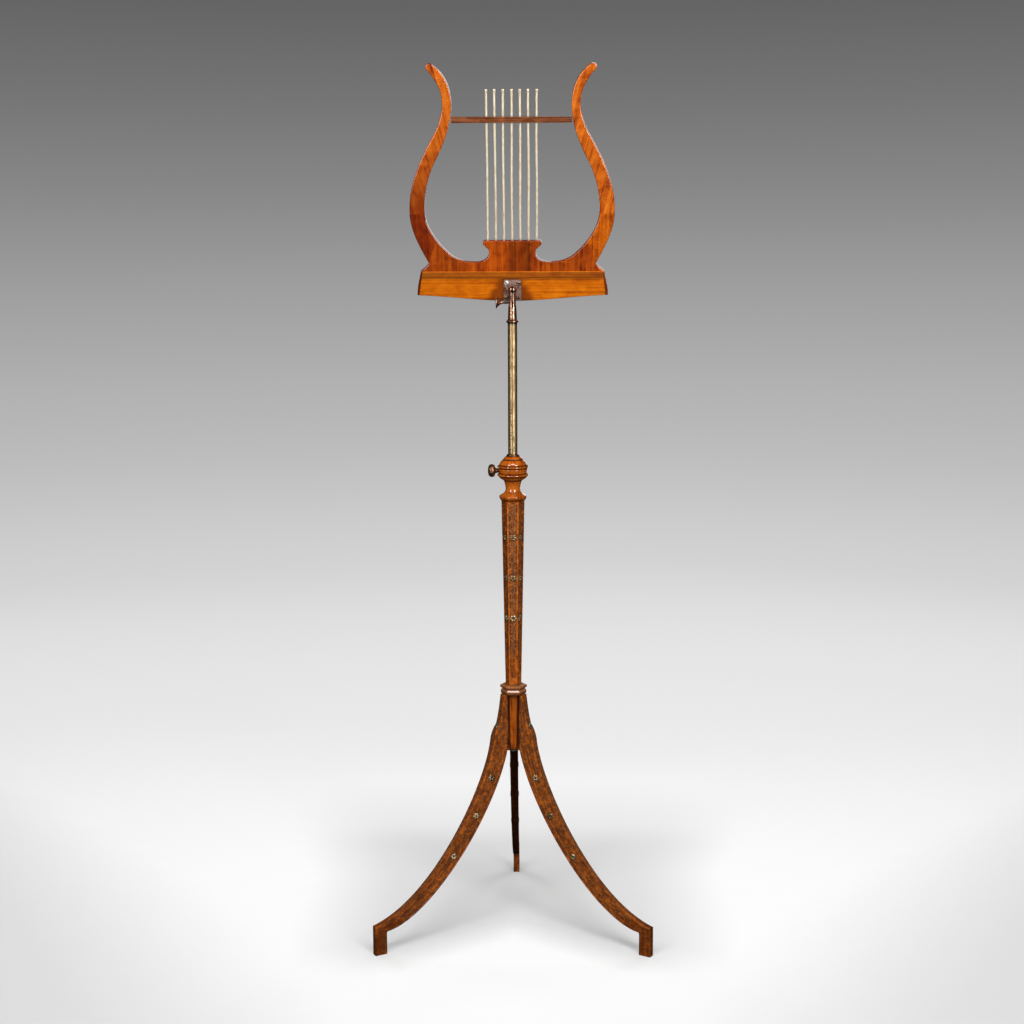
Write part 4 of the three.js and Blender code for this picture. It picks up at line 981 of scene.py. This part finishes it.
def add_rail():
    """The moulded rail: a face below and a cove above, its ends raked."""
    stations = np.r_[-1, -0.9975, np.linspace(-0.99, 0.99, 90), 0.9975, 1]
    cove = np.vstack([[(20.3, 22.6), (19.2, 22.6), (18.7, 22.4)], trace((18.7, 22.4), (18.2, 21.6), (17.3, 17.2,
                     14, 16.4, 11.9, 15.6))[1:], [(11.5, 15.3), (11.3, 14.8)]])
    points, grain, carve, deep = [], [], [], []
    for t in stations:
        ends = 1 - 0.35 * max(0, (abs(t) - 0.99) / 0.01)
        bottom = bow(t * 137.2, (137.2, -11))
        face = [(11.3, u) for u in np.linspace(14, bottom + 1, 8)]
        foot = [(11.3 + 1 - math.cos(a), bottom + 1 - math.sin(a)) for a in np.radians((30, 60, 90))]
        back = [(19.6, bottom), (20.3, bottom + 0.7), (20.3, 5)]
        section = np.vstack([cove, face, foot, back])
        half = np.interp(section[:, 1], [-11, 12, 23.3], [137.2, 134, 132.2])
        normal = 15.8 + (section[:, 0] - 15.8) * (1 if ends == 1 else 0.5 + 0.5 * ends)
        points.append(np.column_stack([t * half, normal, section[:, 1]]))
        grain.append(np.column_stack([t * half, section[:, 1], section[:, 0]]))
        up, x = section[:, 1], abs(t * half)
        # painted shade in the cove and in the line under it, a painted highlight on the top arris, darker at the lower
        # edge, and a painted shadow of the fork and hinge round the plate, its edge made streaky
        shade = 0.6 + 0.1 * t * t
        reach = 34 - 0.65 * (up + 16) - 3 * np.sign(t) + 2 * np.sin(up * 0.9 + t * 9)
        darkening = np.clip((reach - x) / 9 + 0.5, 0, 1) * (up < 14.5)
        carve.append(np.interp(up, [-20, -17, 13.4, 14.1, 14.9, 16, 16.8, 20.8, 21.6, 22.3, 22.6],
                               [-0.4, 0, 0, -0.4, -0.85, -0.75, -shade, -shade, -0.75, 0.2, 0.2]) - 0.22 * darkening)
        deep.append(darkening)
    count = len(points[0])
    faces = grid_faces(len(points), count)
    faces += [tuple(range(count))[::-1], tuple((len(points) - 1) * count + c for c in range(count))]
    build("rail_moulding", np.vstack(points), [f[::-1] for f in faces], "desk", DESK, ("back_rail",), "rail",
          RAIL, grain=np.vstack(grain), carve=np.concatenate(carve), deep=np.concatenate(deep))


def lyre_half():
    """Right half of the lyre's base, from the middle of its lower edge to the middle of the yoke."""
    return trace((0, -19.6), (49.3, -19.6, 84.5, -15.9, 140.9, -13.3), (140.6, -6),
                 (139.6, 4, 136.6, 14, 135.2, 22.6), (128, 28.5, 125.6, 30, 123, 35),
                 (132.5, 53, 148.6, 80, 149.3, ARM_JOINT), (126.9, ARM_JOINT),
                 (126.2, 88, 110, 63, 89.5, 46.3), (79.5, 38.3, 67, 36, 54, 36), (44, 36, 35, 40.6, 34.3, 50),
                 (34.3, 55, 36, 57, 37.4, 56.6), (38.5, 59.5, 42.6, 60.5, 43, 64),
                 (42.9, 66.5, 42, 68, 40.5, YOKE_TOP), (0, YOKE_TOP))


def lyre_arm(side):
    joint = ARM_JOINT + ARM_GAP
    line = trace((126.9, joint), (149.3, joint), (150.2, 150, 134, 182, 111.5, 222),
                 (103, 237, 98.8, 252, 98.8, 267), (98.8, 283, 106, 297, 120.6, 313.4),
                 (123.4, 317.2, 118.6, 322.4, 113, 320), (98, 310, 85.6, 292, 85.6, 264),
                 (85.6, 238, 97, 208, 109, 186), (118, 169.5, 128.6, 142, 126.9, joint))[:-1]
    return line * np.array([side, 1])


def panel_grain(points, seed, lean=0.0):
    """Grain up the panel, leaning by some degrees."""
    c, s = math.cos(math.radians(lean)), math.sin(math.radians(lean))
    x, z = points[:, 0], points[:, 2]
    return np.column_stack([z * c + x * s + 211 * seed, x * c - z * s + 57 * seed, points[:, 1]])


def add_lyre():
    half = lyre_half()
    outline = np.vstack([half, (half * np.array([-1, 1]))[::-1][1:-1]])
    points, faces, rim = board(outline, PANEL_FRONT, PANEL_REAR, EDGE_ROUNDING, 4, ARM_JOINT)
    x, z = np.abs(points[:, 0]), points[:, 2]
    # the plinth's ends beside the rail are darkened, and through rim the board's edges: painted shade
    plinth = np.clip((x - 133) / 2, 0, 1) * np.clip((24 - z) / 3, 0, 1)
    build("lyre_panel", points, faces, "desk", DESK, ("lyre_base",), "veneer", PANEL,
          grain=panel_grain(points, 1.0), rim=rim, deep=0.8 * plinth)
    for name, side, lowest in (("left", -1, 0.88), ("right", 1, 0.0)):
        points, faces, rim = board(lyre_arm(side), PANEL_FRONT, PANEL_REAR, EDGE_ROUNDING, 4,
                                   ARM_JOINT + ARM_GAP)
        build(f"lyre_horn_{name}", points, faces, "desk", DESK, (f"lyre_arm_{name}",), "veneer", ARM,
              grain=panel_grain(points, 3.0 + side, 14 * side), rim=rim,
              deep=lowest * np.clip((212 - points[:, 2]) / 75, 0, 1))


def add_crossbar():
    stations = np.linspace(-86.2, 86.2, 60)
    points, grain = [], []
    for x in stations:
        ends = 1.0 if abs(x) < 84 else 0.92
        ring = []
        for sx, sz, start in ((1, 1, 0), (-1, 1, 90), (-1, -1, 180), (1, -1, 270)):
            for a in np.radians(np.linspace(start, start + 90, 4)):
                ring.append(((sx * 2.8 + 0.8 * math.cos(a)) * ends, (sz * 3.3 + 0.8 * math.sin(a)) * ends))
        ring = np.array(ring)
        points.append(np.column_stack([np.full(len(ring), x), PANEL_MIDDLE + ring[:, 0],
                                       CROSSBAR_HEIGHT + ring[:, 1]]))
        grain.append(np.column_stack([np.full(len(ring), x), ring[:, 1] * 1.3, ring[:, 0]]))
    count = len(points[0])
    faces = grid_faces(len(points), count)
    faces += [tuple(range(count))[::-1], tuple((len(points) - 1) * count + c for c in range(count))]
    build("crossbar_rail", np.vstack(points), faces, "desk", DESK, ("crossbar",), "rosewood", ROSEWOOD,
          grain=np.vstack(grain))


def add_strings():
    for index, x in enumerate(STRING_PLACES):
        heights = np.linspace(STRING_FOOT, STRING_TOP - 4.6, 70)
        wobble = STRING_RADIUS - 0.06 + 0.04 * np.sin(heights / 9 + index * 2.1)
        tip = spline([(STRING_RADIUS, STRING_TOP - 4.6), (2.0, STRING_TOP - 3.4), (2.2, STRING_TOP - 1.6),
                      (1.9, STRING_TOP - 0.5), (1.0, STRING_TOP)])
        points, faces = turned([[(0.2, STRING_FOOT)], np.column_stack([wobble, heights]), tip,
                                [(0.2, STRING_TOP)]], 20)
        bend = 0.35 * np.sin((points[:, 2] - STRING_FOOT) / 222 * math.pi * (1.0 + 0.2 * index) + index)
        bend = bend * np.clip((points[:, 2] - YOKE_TOP) / 30, 0, 1)
        local = points + np.column_stack([bend + x, np.full(len(points), PANEL_MIDDLE), np.zeros(len(points))])
        # darker where they go into the yoke and the crossbar: painted shade
        carve = np.interp(points[:, 2], [YOKE_TOP - 1, YOKE_TOP + 3, 236, 238.5, 245.5, 248],
                          [-0.8, 0, 0, -0.6, -0.6, 0])
        build(f"lyre_string_{index + 1}", local, faces, "desk", DESK, (f"string_{index + 1}",), "string_brass",
              STRING_BRASS, carve=carve)


def add_ledge():
    corner = 14
    plan = np.array([(-LEDGE_HALF, LEDGE_FRONT), (LEDGE_HALF, LEDGE_FRONT), (LEDGE_HALF, LEDGE_END - corner),
                     (LEDGE_HALF - corner / 2, LEDGE_END), (-LEDGE_HALF + corner / 2, LEDGE_END),
                     (-LEDGE_HALF, LEDGE_END - corner)])
    points, faces, rim = board(plan, LEDGE_BOTTOM, LEDGE_TOP, 1.2, 3)
    points = np.column_stack([points[:, 0], points[:, 2], points[:, 1]])
    # the ledge's and lip's edges darkened a little through rim: painted shade
    build("ledge_board", points, [f[::-1] for f in faces], "desk", DESK, ("music_ledge",), "rail", RAIL,
          grain=np.column_stack([points[:, 0] + 300, points[:, 1], points[:, 2]]), rim=0.3 * rim)
    half = LEDGE_HALF - 9
    face = np.vstack([[(-half, LEDGE_BOTTOM), (half, LEDGE_BOTTOM)], arc((half - 6, LIP_TOP - 6), 6, 0, 90, 8),
                      arc((-half + 6, LIP_TOP - 6), 6, 90, 180, 8)])
    points, faces, rim = board(face, LEDGE_END + 0.3, LEDGE_END + 6.3, 1.4, 4)
    build("ledge_lip_strip", points, faces, "desk", DESK, ("ledge_lip",), "rail", RAIL,
          grain=np.column_stack([points[:, 0] + 700, points[:, 2], points[:, 1]]), rim=0.3 * rim)


def dress_hidden():
    """Procedural finishes for the CAD pieces that stay as they are."""
    finishes = {
        "dowel": BEECH, "pole_plug": BEECH, "hub_plate": STEEL, "pivot_pin": STEEL, "screw_insert": BRONZE,
        "clamp_shoe": BRONZE,
    }
    for name, node in frame["nodes"].items():
        for key, material in finishes.items():
            if key in name:
                node.data.materials.clear()
                node.data.materials.append(material)


# ---- Studio ----
BOWL_RADIUS = 6.5
FLOOR_RADIUS = 4.5
# display grey on the floor by distance from the stand, then up the curved wall
FLOOR_TONES = [(0.3, 0.955), (1.15, 0.805), (1.6, 0.755), (2.75, 0.665), (4.75, 0.55), (5.7, 0.445), (6.35, 0.345),
               (6.9, 0.245), (7.4, 0.175), (7.9, 0.124), (9, 0.11)]
FLOOR_ALBEDO = 0.5


def floor_glow(x, y, spread):
    """The floor's own light at a place, in metres from under the stand's axis; spread is the distance
    out along the floor and up the wall. The lamps' share is left out, the tone falls off at the front
    corners, and a painted shadow darkens it between the legs and behind them."""
    places, tones = zip(*FLOOR_TONES)
    narrow = np.interp(spread, [1, 3], [0.6, 1])
    tone = np.interp(np.where(spread < 3, np.hypot(narrow * x, y), spread), places, tones)
    corner = np.abs(x) - 0.6 * y
    tone = np.minimum(tone, np.interp(corner, [0.3, 0.45, 0.55, 0.65, 0.78, 0.9], [1, 0.93, 0.871, 0.807, 0.737, 0.72]))
    # the painted shadow of the stand, from its front edge, back edge and sides
    front = np.clip((y + 0.75 * np.minimum(np.abs(x), 0.17) + 0.055) / 0.09, 0, 1)
    back = np.interp(y, [0.25, 0.35, 0.45, 0.7], [1, 0.95, 0.45, 0])
    aside = np.abs(x) - 0.25 * np.clip(y - 0.2, 0, 0.3)
    side = np.interp(aside, [0.1, 0.2, 0.27, 0.34], [1, 0.78, 0.42, 0])
    lit = np.interp(y, [-0.4, 0.5, 1.2, 2.5], [0.677, 0.556, 0.492, 0.337])
    return tone - 0.26 * front * back * side, lit


def add_studio():
    fillet = BOWL_RADIUS - FLOOR_RADIUS
    profile = [(r, 0.0, r) for r in np.r_[np.linspace(0.02, 1.2, 40), np.linspace(1.3, FLOOR_RADIUS, 20)]]
    for a in np.linspace(0, math.pi / 2, 24)[1:]:
        profile.append((FLOOR_RADIUS + fillet * math.sin(a), fillet * (1 - math.cos(a)), FLOOR_RADIUS + fillet * a))
    end = FLOOR_RADIUS + fillet * math.pi / 2
    for rise in np.linspace(0, 4, 20)[1:]:
        profile.append((BOWL_RADIUS, fillet + rise, end + rise))
    sides = 96
    turn = np.linspace(0, 2 * np.pi, sides, endpoint=False)
    points, glow, pale = [], [], []
    for r, z, s in profile:
        x, y = r * np.cos(turn), r * np.sin(turn)
        points.append(np.column_stack([x, y + AXIS_Y, np.full(sides, z)]))
        tone, lit = floor_glow(x, y, np.full(sides, s))
        pale.append(np.full(sides, np.interp(s, [0, 1.5, 3], [1, 0.6, 0])))
        glow.append(tone - pale[-1] * lit)
    faces = grid_faces(len(profile), sides) + [tuple(range(sides))[::-1]]
    mesh = bpy.data.meshes.new("studio")
    mesh.from_pydata(np.vstack(points).tolist(), [], faces)
    for name, values in (("glow", glow), ("pale", pale)):
        layer = mesh.attributes.new(name, "FLOAT", "POINT")
        layer.data.foreach_set("value", np.concatenate(values).astype(np.float32))
    mesh.shade_smooth()
    studio = bpy.data.objects.new("studio", mesh)
    bpy.context.scene.collection.objects.link(studio)
    n = Nodes("studio_paper")
    n.surface(Base_Color=n.ramp(n.attribute("pale", "Fac"), [(0, 0.0), (1, FLOOR_ALBEDO)]), Roughness=0.9,
              Specular_IOR_Level=0.0, Emission_Color=(1, 1, 1, 1), Emission_Strength=n.attribute("glow", "Fac"))
    mesh.materials.append(n.material)
    studio.visible_diffuse = False
    studio.visible_glossy = False


def add_softbox(name, place, target, size, power, mirrored=True, spread=180):
    light = bpy.data.lights.new(name, "AREA")
    light.shape, light.size, light.size_y = "RECTANGLE", size[0], size[1]
    light.energy = power
    light.spread = math.radians(spread)
    lamp = bpy.data.objects.new(name, light)
    bpy.context.scene.collection.objects.link(lamp)
    lamp.location = place
    lamp.rotation_euler = (Vector(target) - Vector(place)).to_track_quat("-Z", "Y").to_euler()
    lamp.visible_camera = False
    lamp.visible_glossy = mirrored


def add_lights():
    middle = (0, AXIS_Y, 0.75)
    add_softbox("softbox_left", (-1.75, -2.5, 1.7), middle, (0.75, 3.0), 43)
    add_softbox("softbox_right", (1.6, -2.7, 1.7), middle, (0.75, 3.0), 70)
    add_softbox("overhead", (0, -2.0, 3.2), middle, (2.2, 0.7), 70, mirrored=False)
    add_softbox("glint", (0, -2.09, 3.2), middle, (1.7, 0.35), 12)
    add_softbox("fill", (0, -3.2, 1.2), middle, (2.0, 2.0), 25, mirrored=False)
    add_softbox("top_light", (0, 0.2, 3.6), middle, (2.2, 2.2), 20, mirrored=False)
    add_softbox("back_left", (-2.2, 2.3, 1.7), middle, (0.9, 1.7), 32, mirrored=False)
    add_softbox("back_right", (2.2, 2.3, 1.7), middle, (0.9, 1.7), 32, mirrored=False)
    add_softbox("back_glint", (0.5, 3.2, 1.2), middle, (0.9, 2.4), 12)
    add_softbox("under_desk", (0, 1.6, 0.35), (0, AXIS_Y, 1.15), (1.6, 0.5), 8, mirrored=False, spread=60)
    world = bpy.data.worlds.new("studio_air")
    world.use_nodes = True
    air = world.node_tree.nodes["Background"]
    air.inputs["Color"].default_value = (1, 1, 1, 1)
    air.inputs["Strength"].default_value = 0.03
    bpy.context.scene.world = world
    bpy.context.scene.view_settings.view_transform = "Standard"


add_studio()
add_lights()
add_column()
add_hub_and_ring()
add_legs()
add_rosettes()
add_collar()
add_knob()
add_pole()
add_fork()
add_tilt_screw()
add_hinge()
add_rail()
add_lyre()
add_crossbar()
add_strings()
add_ledge()
dress_hidden()
